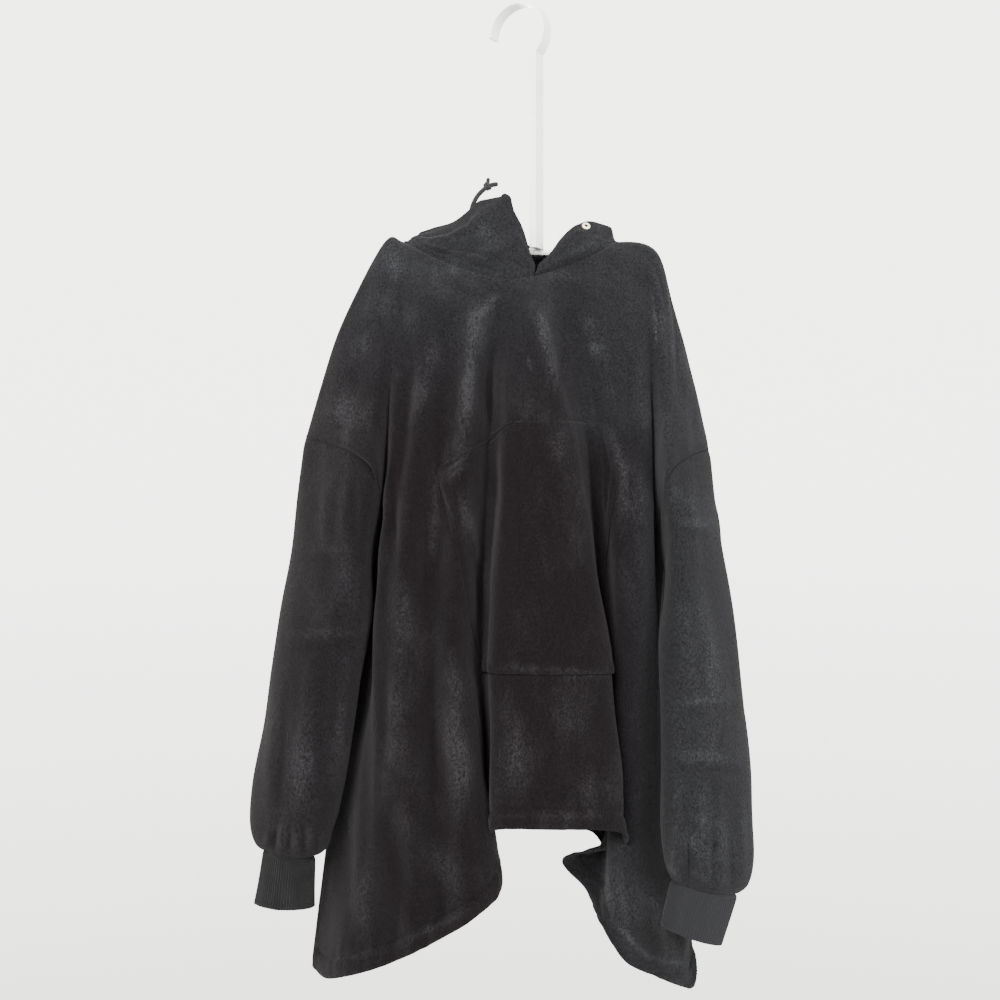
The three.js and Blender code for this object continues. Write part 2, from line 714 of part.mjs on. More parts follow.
// Sets a piece on a sheet with its own Y axis along the sheet's outward direction there
function setOn(mesh, sheet, index, distance, side) {
  const outward = sheet.outward[index].clone().multiplyScalar(side);
  mesh.quaternion.setFromUnitVectors(vector(0, 1, 0), outward);
  mesh.position.copy(sheet.points[index]).addScaledVector(outward, distance);
}
const gridIndex = (grid, place) => place.row * grid[0].length + place.column;
const eyeletSeat = FLEECE_WALL / 2 + SEAM_GAP;
const rightEyelet = add("eyelet_right", eyeletGeometry(), metal);
setOn(rightEyelet, sheets.hood_right, gridIndex(rightHood, RIGHT_EYELET), eyeletSeat, 1);
const leftEyelet = add("eyelet_left", eyeletGeometry(), metal);
setOn(leftEyelet, sheets.hood_left, gridIndex(leftHood, LEFT_EYELET), eyeletSeat, -1);

// Drawstring: its free end stands over the hood's left edge, in a knot with two short tails
function cordGeometry() {
  const route = new THREE.CatmullRomCurve3(CORD_ROUTE.map((p) => vector(...p)));
  const section = new THREE.Shape();
  section.absarc(0, 0, CORD / 2, 0, 2 * Math.PI);
  return new THREE.ExtrudeGeometry(section, {
    steps: CORD_SIDES_AND_STEPS.steps,
    curveSegments: CORD_SIDES_AND_STEPS.sides,
    extrudePath: route,
    bevelEnabled: false,
  });
}
add("drawstring", cordGeometry(), braid);

function knotGeometry() {
  const [end, before] = [CORD_ROUTE.at(-1), CORD_ROUTE.at(-2)].map((p) => vector(...p));
  const along = end.clone().sub(before).normalize();
  const centre = end.clone().addScaledVector(along, KNOT_RADIUS + SEAM_GAP);
  const ball = new THREE.SphereGeometry(KNOT_RADIUS, 12, 8).translate(...centre.toArray());
  const tails = KNOT_TAILS.map((tip) => {
    const direction = vector(...tip).sub(centre);
    const tail = new THREE.CapsuleGeometry(TAIL_RADIUS, direction.length(), 3, 8);
    const turn = new THREE.Quaternion();
    turn.setFromUnitVectors(vector(0, 1, 0), direction.clone().normalize());
    const middle = centre.clone().addScaledVector(direction, 0.5);
    return tail.applyQuaternion(turn).translate(...middle.toArray());
  });
  return geometryOf(tails.map(solidOf).reduce((sum, tail) => sum.add(tail), solidOf(ball)));
}
add("drawstring_knot", knotGeometry(), braid);

export default garment;
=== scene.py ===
import math

import bpy
import numpy as np
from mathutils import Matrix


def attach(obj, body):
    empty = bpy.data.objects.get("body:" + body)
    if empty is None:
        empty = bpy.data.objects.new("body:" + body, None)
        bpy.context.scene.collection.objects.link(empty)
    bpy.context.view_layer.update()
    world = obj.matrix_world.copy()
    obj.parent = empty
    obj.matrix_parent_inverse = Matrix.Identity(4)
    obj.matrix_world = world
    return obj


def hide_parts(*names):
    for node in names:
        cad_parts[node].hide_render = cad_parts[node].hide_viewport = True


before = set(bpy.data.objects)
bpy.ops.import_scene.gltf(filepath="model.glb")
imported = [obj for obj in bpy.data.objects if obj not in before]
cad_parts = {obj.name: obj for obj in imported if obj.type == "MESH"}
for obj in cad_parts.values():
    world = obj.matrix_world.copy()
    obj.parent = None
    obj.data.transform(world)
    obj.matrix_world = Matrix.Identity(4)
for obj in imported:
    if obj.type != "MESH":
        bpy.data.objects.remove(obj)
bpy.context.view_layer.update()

MM = 0.001

# Camera: level, on the garment's left of centre, at chest height
CAMERA_PLACE = np.array([-27.3, -1900.0, -691.6])
PHOTO_SIZE = 1000
MM_PER_PIXEL = 1.4  # at the hanger's depth
SENSOR = 36.0


def add_camera():
    """A level camera that sees one millimetre of the hanger's plane as 1 / 1.4 of a pixel."""
    data = bpy.data.cameras.new("camera")
    data.sensor_width = SENSOR
    data.lens = -CAMERA_PLACE[1] / (MM_PER_PIXEL * PHOTO_SIZE) * SENSOR
    data.clip_end = 30
    camera = bpy.data.objects.new("camera", data)
    camera.location = CAMERA_PLACE * MM
    camera.rotation_euler = (math.pi / 2, 0, 0)
    bpy.context.collection.objects.link(camera)
    bpy.context.scene.camera = camera


add_camera()

# Cloth
FLEECE_WALL = 2.4
POCKET_WALL = 2.2
CUFF_WALL = 3.2

# Neck opening and shoulder tips
NECK_X = -13
NECK_HALF = 150
NECK_Z = -331
FRONT_NECK = {"drop": 60, "depth": -48}
BACK_NECK = {"drop": 14, "depth": 44}
LEFT_TIP_Z = -333
RIGHT_TIP_Z = -343

# Heights at which every fold line of a panel is given
YOKE_Z = -440
CHEST_Z = -560
WAIST_Z = -870
LOW_SHARE = 0.86
BACK_WING_SPREAD = 14
BACK_WING_SHARE = 0.9
FLARE_HOLD = 0.25
NECK_ROUND = 1.6

# Cells of cloth from one knot of a fold line to the next, and from one fold line to the next
ROW_CELLS = [20, 20, 30, 25, 28]
FOLD_CELLS = 10
SLEEVE_CELLS = 16
CUFF_CELLS = 8
CUFF_ROUND = 384
HOOD_CELLS = [10, 15, 15, 10, 6]
HOOD_ROLL = 12
SIDE_LINES = 4  # fold lines of a side that move with its seam


def table(names, rows):
    """Columns of numbers by name, one entry for each row."""
    return dict(zip(names.split(), np.array(rows, float).T))


FRONT_FOLDS = table("xTop xYoke yYoke xChest yChest xWaist yWaist xHem yHem zHem flare", [
    [-190, -177, -42, -172, -46, -197, -56, -196, -66, -1325, 0],
    [-163, -154, -50, -150, -54, -181, -72, -162, -74, -1309, 0],
    [-125, -126, -60, -133, -68, -158, -86, -132, -84, -1292, 0],
    [-98, -92, -54, -103, -58, -122, -70, -103, -76, -1279, 0],
    [-72, -62, -66, -73, -72, -91, -88, -67, -90, -1253, 0],
    [-54, -48, -58, -53, -58, -69, -72, -28, -64, -1222, 0],
    [-38, -36, -50, -40, -44, -56, -22, -35, -8, -1196, 0],
    [-22, -23, -56, -27, -58, -42, -42, -40, -42, -1161, 0],
    [-6, -8, -64, -11, -76, -35, -82, -35, -86, -1133, 0],
    [20, 10, -70, 23, -84, 36, -98, 36, -100, -1128, 0],
    [42, 27, -74, 55, -78, 109, -84, 130, -90, -1134, 0],
    [56, 46, -58, 68, -60, 113, -46, 139, -52, -1163, 0],
    [70, 64, -50, 84, -42, 110, 4, 112, 18, -1199, -50],
    [88, 89, -50, 103, -42, 126, -6, 116, 4, -1239, -22],
    [110, 117, -54, 125, -54, 134, -40, 116, -40, -1274, -4],
    [137, 147, -54, 153, -56, 158, -54, 142, -58, -1317, 0],
    [190, 178, -40, 178, -40, 184, -40, 185, -36, -1345, 0],
])
WING_COLUMNS = "xTop zTop xYoke yYoke zYoke xChest yChest zChest xWaist yWaist xLow xHem yHem zHem"
LEFT_WING = table(WING_COLUMNS, [
    [-298, -604, -200, -70, -648, -207, 20, -759, -232, 24, -284, -291, 12, -1347],
    [-275, -524, -194, -62, -590, -190, 2, -712, -198, -2, -262, -269, -18, -1354],
    [-247, -442, -186, -50, -515, -185, -14, -647, -196, -28, -232, -234, -50, -1340],
])
RIGHT_WING = table(WING_COLUMNS, [
    [264, -621, 199, -74, -657, 209, 22, -764, 218, 36, 242, 249, 30, -1350],
    [240, -515, 196, -66, -594, 189, 6, -712, 198, 14, 237, 243, 12, -1377],
    [215, -420, 194, -56, -518, 182, -10, -650, 191, -10, 216, 220, -10, -1367],
])
BACK_FOLDS = table("xTop xYoke yYoke xChest yChest xWaist yWaist xHem yHem zHem flare", [
    [190, 178, 40, 178, 42, 180, 62, 184, 64, -1338, 0],
    [137, 146, 48, 150, 56, 152, 82, 148, 88, -1274, 0],
    [96, 104, 54, 112, 68, 122, 70, 118, 66, -1186, 0],
    [58, 62, 54, 74, 58, 88, 96, 78, 104, -1170, 0],
    [22, 24, 56, 32, 66, 44, 74, 34, 72, -1160, 0],
    [-14, -14, 56, -16, 64, -12, 100, -18, 108, -1160, 0],
    [-50, -52, 56, -62, 68, -70, 76, -64, 72, -1182, 0],
    [-86, -90, 54, -98, 58, -106, 98, -104, 102, -1222, 0],
    [-124, -130, 52, -134, 62, -144, 72, -140, 68, -1268, 0],
    [-163, -158, 46, -160, 54, -176, 84, -176, 84, -1304, 0],
    [-190, -178, 40, -176, 44, -198, 58, -202, 62, -1324, 0],
])
SLEEVE_COLUMNS = "xOuter zOuter xInner zInner yMiddle half lean"
LEFT_SLEEVE = table(SLEEVE_COLUMNS, [
    [-297, -604, -207, -759, -4, 60, 0],
    [-308, -680, -216, -800, -14, 54, 20],
    [-324, -780, -209, -860, -20, 50, 28],
    [-342, -890, -218, -935, -24, 48, 28],
    [-359, -1010, -230, -1025, -26, 47, 26],
    [-371, -1090, -243, -1096, -28, 46, 22],
    [-374, -1138, -256, -1140, -28, 43, 18],
    [-366, -1164, -266, -1168, -28, 38, 12],
    [-350, -1172, -286, -1180, -28, 29, 6],
])
RIGHT_SLEEVE = table(SLEEVE_COLUMNS, [
    [264, -621, 209, -764, -4, 60, 0],
    [275, -700, 214, -805, -8, 54, 8],
    [295, -820, 192, -880, -28, 50, 30],
    [309, -935, 190, -965, -36, 48, 30],
    [317, -1050, 189, -1050, -46, 46, 28],
    [318, -1130, 188, -1115, -54, 45, 24],
    [317, -1180, 190, -1152, -60, 42, 18],
    [308, -1212, 196, -1182, -63, 37, 12],
    [290, -1224, 207, -1204, -65, 29, 6],
])
LEFT_CUFF = table(SLEEVE_COLUMNS, [
    [-350, -1172, -286, -1180, -28, 29, 6],
    [-353, -1182, -284, -1189, -28, 27, 6],
    [-359, -1216, -284, -1219, -28, 26, 6],
    [-364, -1249, -285, -1250, -28, 25, 6],
])
RIGHT_CUFF = table(SLEEVE_COLUMNS, [
    [290, -1224, 207, -1204, -65, 29, 6],
    [290, -1232, 203, -1214, -66, 27, 6],
    [281, -1262, 196, -1239, -68, 26, 6],
    [271, -1292, 191, -1263, -69, 25, 6],
])
LEFT_HOOD = table("xRim yRim zRim swell drop", [
    [-14, 126, -352, 74, 236],
    [-46, 120, -348, 70, 214],
    [-78, 104, -338, 58, 150],
    [-106, 74, -326, 46, 56],
    [-140, 22, -319, 12, 0],
    [-122, -2, -312, -10, 0],
    [-92, -8, -304, -12, 0],
    [-66, -10, -286, -14, 0],
    [-56, -12, -277, -14, 0],
    [-42, -14, -274, -14, 0],
    [-27, -18, -272, -14, 0],
    [-13, -24, -271, -12, 0],
    [20, -44, -370, -4, 0],
])
RIGHT_HOOD = table("xRim yRim zRim swell drop", [
    [26, -44, -370, -4, 0],
    [44, -36, -352, -8, 0],
    [58, -30, -331, -12, 0],
    [74, -24, -316, -16, 0],
    [92, -18, -306, -14, 0],
    [112, -10, -306, -8, 0],
    [131, 14, -312, 12, 0],
    [98, 74, -328, 46, 56],
    [56, 104, -340, 58, 150],
    [18, 120, -349, 70, 214],
    [-14, 126, -352, 74, 236],
])

# Pocket: how far down the panel's net each height lies, with its left and right edges across it
POCKET_EDGES = table("down left right", [
    [2.11, 11, 16.5],
    [2.24, 7.4, 17.1],
    [2.34, 5.9, 17.3],
    [2.5, 6.47, 16.9],
    [3.24, 9.1, 14.1],
])
WINGS = 3
CENTRE_LINE = WINGS + 9
SHOULDER_LINES = WINGS + 2


def spline(knots, cells, before=None, after=None):
    """Cubic curves through rows of knots. Between knots b and c, with a before and d after, a point
    at t is b + t/2 (c - a + t (2a - 5b + 4c - d + t (3 (b - c) + d - a))). A missing neighbour
    at an end is the mirror of the knot inside it."""
    first = 2 * knots[:, :1] - knots[:, 1:2] if before is None else before[:, None]
    last = 2 * knots[:, -1:] - knots[:, -2:-1] if after is None else after[:, None]
    line = np.concatenate([first, knots, last], axis=1)
    span = np.append(np.repeat(np.arange(len(cells)), cells), len(cells) - 1)
    t = np.append(np.concatenate([np.arange(n) / n for n in cells]), 1.0)[None, :, None]
    a, b, c, d = (line[:, span + k] for k in range(4))
    return b + 0.5 * t * (c - a + t * (2 * a - 5 * b + 4 * c - d + t * (3 * (b - c) + d - a)))


def mix(a, b, t):
    """a plus t times the way to b."""
    return a + (b - a) * t


def smooth(t):
    """0 below 0, 1 above 1 and 3t² - 2t³ between."""
    t = np.clip(t, 0, 1)
    return t * t * (3 - 2 * t)


def points(x, y, z):
    """Arrays of x, y and z as one array of points."""
    return np.stack(np.broadcast_arrays(x, y, z), axis=-1).astype(float)


def body_lines(folds, neck):
    """Fold lines from the neckline or shoulder down to the hem, six knots each. The neckline at x is
    depth (1 - s²) forward and drop (1 - s^NECK_ROUND) down, with s its share of the neck's half width."""
    x = folds["xTop"]
    share = np.minimum(1, abs(x - NECK_X) / NECK_HALF)
    neckline = points(x, neck["depth"] * (1 - share**2), NECK_Z - neck["drop"] * (1 - share**NECK_ROUND))
    tip = points(x, 0, np.where(x < 0, LEFT_TIP_Z, RIGHT_TIP_Z))
    top = np.where((abs(x - NECK_X) > NECK_HALF + 1)[:, None], tip, neckline)
    yoke = points(folds["xYoke"], folds["yYoke"], YOKE_Z)
    chest = points(folds["xChest"], folds["yChest"], CHEST_Z)
    waist = points(folds["xWaist"], folds["yWaist"], WAIST_Z)
    hem = points(folds["xHem"], folds["yHem"], folds["zHem"])
    low = mix(waist, hem, LOW_SHARE)
    low[:, 0] -= folds["flare"] * FLARE_HOLD
    hem[:, 0] += folds["flare"]
    return np.stack([top, yoke, chest, waist, low, hem], axis=1)


def wing_lines(wing, back):
    """Fold lines of a drooping shoulder and side. On the back each depth y becomes m + BACK_WING_SHARE (m - y),
    m being the seam's own depth at that height."""
    def depth(y, middle):
        return middle + (middle - y) * BACK_WING_SHARE if back else y

    outside = np.sign(wing["xTop"]) * BACK_WING_SPREAD if back else 0
    top = points(wing["xTop"], 0, wing["zTop"])
    yoke = points(wing["xYoke"] + outside, depth(wing["yYoke"], 0), wing["zYoke"])
    chest = points(wing["xChest"], depth(wing["yChest"], wing["yChest"][0]), wing["zChest"])
    waist = points(wing["xWaist"], depth(wing["yWaist"], wing["yWaist"][0]), WAIST_Z)
    hem = points(wing["xHem"], depth(wing["yHem"], wing["yHem"][0]), wing["zHem"])
    low = mix(waist, hem, LOW_SHARE)
    low[:, 0] = wing["xLow"]
    return np.stack([top, yoke, chest, waist, low, hem], axis=1)


def panel_grid(net, other):
    """A panel's points, [row, column]: splines down every fold line, then across them in each row.
    Ridge and sides take the other panel's next line as the knot beyond their edge."""
    count = len(net)
    lines = np.arange(count)
    twin = np.where(lines < SHOULDER_LINES, len(other) - 1 - lines, count - 1 - lines)
    ridge = (lines < SHOULDER_LINES) | (lines >= count - SHOULDER_LINES)
    beyond = np.where(ridge[:, None], other[twin % len(other), 1], 2 * net[:, 0] - net[:, 1])
    columns = spline(net, ROW_CELLS, beyond)
    start = spline(other[-2:-1], ROW_CELLS, net[1:2, 1])[0]
    end = spline(other[1:2], ROW_CELLS, net[-2:-1, 1])[0]
    return spline(columns.transpose(1, 0, 2), [FOLD_CELLS] * (count - 1), start, end)


def join_shoulders(front, back):
    """Both panels' top edges outside the neck take the middle of the two, on the plane y = 0."""
    reach = (SHOULDER_LINES - 1) * FOLD_CELLS + 1
    for ours, theirs in ((slice(None, reach), slice(None, -reach - 1, -1)),
                         (slice(None, -reach - 1, -1), slice(None, reach))):
        middle = (front[0, ours] + back[0, theirs]) / 2
        middle[:, 1] = 0
        front[0, ours] = middle
        back[0, theirs] = middle


def join_sides(front, back, first_row):
    """Below the underarm both edges move to their middle, and the columns beside them by less and less."""
    reach = SIDE_LINES * FOLD_CELLS
    fade = (1 - np.arange(reach) / reach)[None, :, None]
    for ours, theirs in ((slice(None, reach), slice(None, -reach - 1, -1)),
                         (slice(None, -reach - 1, -1), slice(None, reach))):
        front_part, back_part = front[first_row:, ours], back[first_row:, theirs]
        middle = (front_part[:, :1] + back_part[:, :1]) / 2
        front[first_row:, ours] = front_part + (middle - front_part[:, :1]) * fade
        back[first_row:, theirs] = back_part + (middle - back_part[:, :1]) * fade


def finer(ring):
    """A ring with the middle of every two neighbours put in between them."""
    return np.stack([ring, (ring + np.roll(ring, -1, 0)) / 2], 1).reshape(-1, 3)


def tube_grid(rows, side, sewn, cells, fade):
    """Rings of a sleeve or cuff, [ring, round]. At turn a, the way across is (1 - cos a) / 2 and the depth is
    middle - half sin a, leaning forward at the inner edge. The first ring is the one it is sewn to."""
    turn = 2 * np.pi * np.arange(len(sewn)) / len(sewn)
    across = ((1 - np.cos(turn)) / 2)[:, None]
    inner = across if side < 0 else 1 - across
    left, right = (rows["xOuter"], rows["xInner"]) if side < 0 else (rows["xInner"], rows["xOuter"])
    depth = rows["yMiddle"] - rows["half"] * np.sin(turn)[:, None] - rows["lean"] * (2 * inner - 1)
    knots = points(mix(left, right, across), depth, mix(rows["zOuter"], rows["zInner"], inner))
    lines = spline(knots, [cells] * (len(rows["half"]) - 1))
    shift = (sewn - lines[:, 0])[:, None]
    lines = lines + shift * (1 - smooth(np.arange(lines.shape[1]) / fade))[None, :, None]
    return lines.transpose(1, 0, 2)


# Hood lines: how far from rim to neck each knot lies and its share of the swell, where the hood stands; and in
# the hanging pouch its swell half way down, and its shares of swell and drop inside and at the neck
STANDING = ((0.3, 0.6), (0.6, 0.8), (0.82, 0.55), (0.94, 0.2))
POUCH_HALFWAY = 0.35
POUCH_INSIDE = (0.62, 0.5)
POUCH_NECK = 0.2


def hood_grid(rows, neck):
    """Hood lines from rim to neck, [row, round]. Where a line has no drop it stands on the neck and swells
    from it; where it has one it hangs as a pouch, over its outer side and up the inner one."""
    knots = neck[::FOLD_CELLS]
    rim = points(rows["xRim"], rows["yRim"], rows["zRim"])
    swell = points(0, rows["swell"], 0)
    drop = points(0, 0, -rows["drop"])
    standing = [mix(rim, knots, share) + swell * out for share, out in STANDING]
    bottom = knots + swell + drop
    inside = knots + swell * POUCH_INSIDE[0] + drop * POUCH_INSIDE[1]
    hanging = [mix(rim, bottom, 0.5) + swell * POUCH_HALFWAY, bottom, inside,
               knots + swell * POUCH_NECK + points(0, 0, HOOD_ROLL)]
    pouch = (rows["drop"] > 0)[:, None]
    middle = [np.where(pouch, low, high) for high, low in zip(standing, hanging)]
    lines = spline(np.stack([rim, *middle, knots], axis=1), HOOD_CELLS)
    grid = spline(lines.transpose(1, 0, 2), [FOLD_CELLS] * (len(rim) - 1))
    share = smooth(np.arange(len(grid)) / (len(grid) - 1))[:, None, None]
    return grid + (neck - grid[-1]) * share


def slopes(grid, axis, closed):
    """Central differences along one axis of a grid, round the ring where it is closed."""
    if closed and axis == 1:
        return (np.roll(grid, -1, 1) - np.roll(grid, 1, 1)) / 2
    return np.gradient(grid, axis=axis)


def outward(grid, closed=False):
    """The unit direction out of a grid: the slope down its rows crossed with the slope along them."""
    normal = np.cross(slopes(grid, 0, closed), slopes(grid, 1, closed))
    return normal / np.maximum(np.linalg.norm(normal, axis=-1, keepdims=True), 1e-9)


def lengths(grid, axis):
    """How far each point lies along its row or column, in millimetres."""
    step = np.linalg.norm(np.diff(grid, axis=axis), axis=-1)
    return np.insert(np.cumsum(step, axis=axis), 0, 0, axis=axis)


def new_piece(name, corners, faces, uvs, material):
    """An object of corners and four-sided faces, smooth, with its UV map, taken from millimetres to metres."""
    mesh = bpy.data.meshes.new(name)
    mesh.from_pydata((corners * MM).tolist(), [], faces.tolist())
    mesh.uv_layers.new(name="cloth").data.foreach_set("uv", (uvs * MM).ravel())
    mesh.polygons.foreach_set("use_smooth", np.ones(len(mesh.polygons), bool))
    mesh.materials.append(material)
    piece = bpy.data.objects.new(name, mesh)
    bpy.context.collection.objects.link(piece)
    return piece


def cloth(name, grid, wall, material, closed=False, **shades):
    """A mesh of the grid's cells with a UV map along and down the cloth, its shades as attributes of its
    points, and a wall."""
    rows, width = grid.shape[:2]
    r, c = np.meshgrid(np.arange(rows - 1), np.arange(width if closed else width - 1), indexing="ij")
    right = (c + 1) % width
    faces = np.stack([r * width + c, (r + 1) * width + c, (r + 1) * width + right, r * width + right], -1)
    along, down = lengths(grid, 1), lengths(grid, 0)
    whole = along[:, -1] + np.linalg.norm(grid[:, -1] - grid[:, 0], axis=-1)
    again = np.where(c + 1 < width, 0, whole[r])
    u = np.stack([along[r, c], along[r + 1, c], along[r + 1, right] + again, along[r, right] + again], -1)
    v = np.stack([down[r, c], down[r + 1, c], down[r + 1, right], down[r, right]], -1)
    piece = new_piece(name, grid.reshape(-1, 3), faces.reshape(-1, 4), np.stack([u, v], -1), material)
    for shade, values in shades.items():
        layer = piece.data.attributes.new(shade, "FLOAT", "POINT")
        layer.data.foreach_set("value", values.astype(np.float32).ravel())
    solid = piece.modifiers.new("wall", "SOLIDIFY")
    solid.thickness = wall * MM
    solid.offset = 0
    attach(piece, "root")
    return piece


front_net = np.concatenate([wing_lines(LEFT_WING, False), body_lines(FRONT_FOLDS, FRONT_NECK),
                            wing_lines(RIGHT_WING, False)[::-1]])
back_net = np.concatenate([wing_lines(RIGHT_WING, True), body_lines(BACK_FOLDS, BACK_NECK),
                           wing_lines(LEFT_WING, True)[::-1]])
front = panel_grid(front_net, back_net)
back = panel_grid(back_net, front_net)
ARMHOLE = ROW_CELLS[0] + ROW_CELLS[1]
join_shoulders(front, back)
join_sides(front, back, ARMHOLE)
left_armhole = np.concatenate([front[:ARMHOLE, 0], back[ARMHOLE:0:-1, -1]])
right_armhole = np.concatenate([front[ARMHOLE:0:-1, -1], back[:ARMHOLE, 0]])
left_sleeve = tube_grid(LEFT_SLEEVE, -1, finer(left_armhole), SLEEVE_CELLS, 3 * SLEEVE_CELLS)
right_sleeve = tube_grid(RIGHT_SLEEVE, 1, finer(right_armhole), SLEEVE_CELLS, 3 * SLEEVE_CELLS)
edge = (SHOULDER_LINES - 1) * FOLD_CELLS
front_neck = front[0, edge:-edge]
back_neck = back[0, edge:-edge]
front_middle = CENTRE_LINE * FOLD_CELLS - edge
back_middle = (len(back_neck) - 1) // 2
left_hood = hood_grid(LEFT_HOOD, np.concatenate([back_neck[back_middle:], front_neck[1:front_middle + 1]]))
right_hood = hood_grid(RIGHT_HOOD, np.concatenate([front_neck[front_middle:], back_neck[1:back_middle + 1]]))

# Creases laid on the front, in pixels of the photograph: from, to, half width and height in mm
FRONT_CREASES = table("x0 y0 x1 y1 wide high", [
    [496, 298, 475, 322, 7, 3.0],
    [475, 322, 473, 350, 7, 3.0],
    [473, 350, 466, 400, 7, 2.6],
    [466, 400, 462, 426, 6, 2.4],
    [429, 345, 433, 368, 7, 2.2],
    [433, 368, 413, 424, 8, 2.0],
    [534, 306, 545, 340, 7, 2.6],
    [545, 340, 560, 398, 8, 2.4],
    [490, 352, 489, 420, 6, -2.6],
    [499, 440, 495, 560, 7, -2.2],
    [494, 560, 488, 690, 7, -2.2],
    [488, 690, 486, 810, 7, -2.2],
    [594, 500, 606, 640, 7, -1.6],
    [612, 470, 632, 600, 9, -2.4],
    [632, 600, 640, 820, 10, -2.4],
    [562, 335, 563, 420, 5, -2.2],
    [450, 300, 446, 352, 6, -1.4],
    [512, 300, 516, 352, 6, -1.2],
    [440, 474, 480, 566, 4, 2.4],
    [446, 462, 476, 448, 3, 1.6],
    [438, 482, 468, 466, 3, 1.8],
    [442, 474, 470, 458, 3, -1.8],
    [452, 486, 472, 520, 5, -1.8],
    [466, 500, 474, 560, 5, 1.8],
    [436, 500, 434, 560, 5, 1.8],
    [427, 500, 424, 600, 5, -1.6],
    [440, 470, 452, 520, 4, -1.2],
    [433, 470, 430, 560, 7, 1.2],
    [608, 433, 625, 467, 5, 1.8],
    [625, 467, 619, 532, 5, 1.6],
    [403, 612, 388, 806, 9, 2.2],
    [452, 676, 460, 862, 9, 2.0],
    [430, 650, 434, 804, 9, -2.0],
    [373, 700, 366, 860, 8, -1.6],
    [478, 700, 476, 850, 7, -1.8],
    [416, 820, 408, 930, 10, 1.4],
    [392, 440, 396, 560, 6, -1.4],
    [404, 470, 402, 640, 8, 1.4],
    [360, 880, 372, 950, 10, 1.6],
    [338, 800, 334, 930, 8, 1.4],
    [350, 810, 350, 940, 7, -1.4],
    [430, 860, 446, 930, 9, -1.4],
    [470, 850, 484, 900, 7, 1.2],
    [522, 470, 520, 640, 12, 1.0],
    [556, 440, 574, 600, 10, 1.2],
    [540, 520, 545, 670, 9, -1.0],
    [520, 690, 524, 810, 9, 1.2],
    [548, 680, 556, 800, 9, -1.0],
    [580, 690, 590, 812, 10, 1.2],
    [640, 300, 644, 420, 8, 1.8],
    [625, 310, 628, 430, 6, -1.4],
    [600, 300, 612, 420, 8, 1.4],
    [585, 300, 592, 400, 6, -1.2],
    [640, 470, 641, 600, 7, 1.4],
    [652, 520, 650, 700, 6, -1.4],
    [630, 600, 640, 800, 9, 1.6],
    [645, 640, 652, 850, 7, -1.4],
    [625, 700, 632, 850, 6, -1.2],
    [632, 870, 640, 930, 8, 1.4],
    [652, 870, 660, 950, 8, 1.2],
    [676, 890, 684, 965, 7, 1.4],
    [667, 890, 672, 950, 5, -1.2],
    [382, 270, 362, 340, 8, 1.6],
    [372, 330, 345, 420, 8, -1.4],
    [384, 340, 366, 430, 6, 1.6],
    [352, 330, 326, 420, 9, 1.2],
    [420, 262, 416, 320, 8, 1.4],
    [404, 262, 400, 330, 6, -1.2],
    [664, 300, 676, 372, 7, 1.4],
    [672, 330, 692, 430, 7, -1.2],
    [680, 330, 702, 440, 6, 1.2],
    [300, 436, 372, 456, 5, -1.0],
])
LEFT_SLEEVE_CREASES = table("x0 y0 x1 y1 wide high", [
    [300, 548, 366, 552, 5, 2.0],
    [302, 560, 350, 566, 5, -1.4],
    [292, 636, 362, 630, 6, 2.2],
    [296, 648, 350, 644, 5, -1.6],
    [330, 470, 322, 545, 9, 1.8],
    [354, 480, 350, 560, 7, -1.6],
    [345, 480, 338, 540, 7, 1.4],
    [340, 570, 330, 630, 9, 1.4],
    [310, 660, 300, 800, 10, 1.8],
    [328, 660, 316, 790, 8, -1.8],
    [345, 660, 334, 800, 9, 1.8],
    [275, 700, 268, 810, 9, 1.2],
    [288, 690, 280, 820, 7, -1.2],
    [270, 832, 266, 846, 5, 1.6],
    [284, 825, 281, 850, 5, 1.8],
    [297, 828, 297, 852, 5, 1.6],
    [309, 826, 311, 853, 5, 1.6],
    [322, 826, 318, 852, 5, 1.6],
    [277, 828, 274, 848, 4, -1.6],
    [290, 826, 289, 851, 4, -1.8],
    [303, 826, 304, 853, 4, -1.6],
    [316, 830, 314, 853, 4, -1.6],
])
RIGHT_SLEEVE_CREASES = table("x0 y0 x1 y1 wide high", [
    [672, 520, 712, 524, 5, 1.8],
    [668, 534, 705, 536, 5, -1.4],
    [675, 702, 738, 696, 5, 1.8],
    [678, 716, 736, 710, 5, -1.4],
    [672, 752, 742, 758, 6, 1.8],
    [676, 768, 735, 772, 5, -1.4],
    [690, 470, 700, 560, 8, 1.4],
    [678, 480, 684, 600, 6, -1.4],
    [700, 580, 712, 680, 9, 1.4],
    [684, 600, 690, 690, 8, 1.2],
    [726, 620, 733, 700, 8, -1.2],
    [690, 780, 690, 868, 9, -2.4],
    [676, 790, 678, 862, 7, 1.8],
    [704, 790, 706, 872, 8, 1.8],
    [719, 800, 722, 882, 7, 1.4],
    [712, 840, 714, 885, 4, -1.6],
    [698, 846, 699, 876, 4, 1.8],
    [688, 838, 689, 886, 5, -4.2],
    [680, 846, 676, 872, 6, 2.2],
    [706, 868, 724, 880, 5, 2.0],
    [729, 840, 731, 884, 4, -1.2],
    [740, 800, 742, 870, 6, 1.2],
])
HOOD_CREASES = table("x0 y0 x1 y1 wide high", [
    [570, 256, 598, 238, 5, 1.6],
    [575, 266, 608, 246, 5, -1.0],
    [440, 250, 496, 205, 9, 1.6],
    [455, 262, 510, 225, 7, -1.6],
    [470, 268, 516, 240, 7, 1.6],
    [412, 246, 450, 240, 6, 1.2],
    [430, 256, 470, 248, 5, -1.2],
    [550, 266, 575, 240, 5, -1.4],
    [560, 262, 588, 246, 4, 1.2],
])
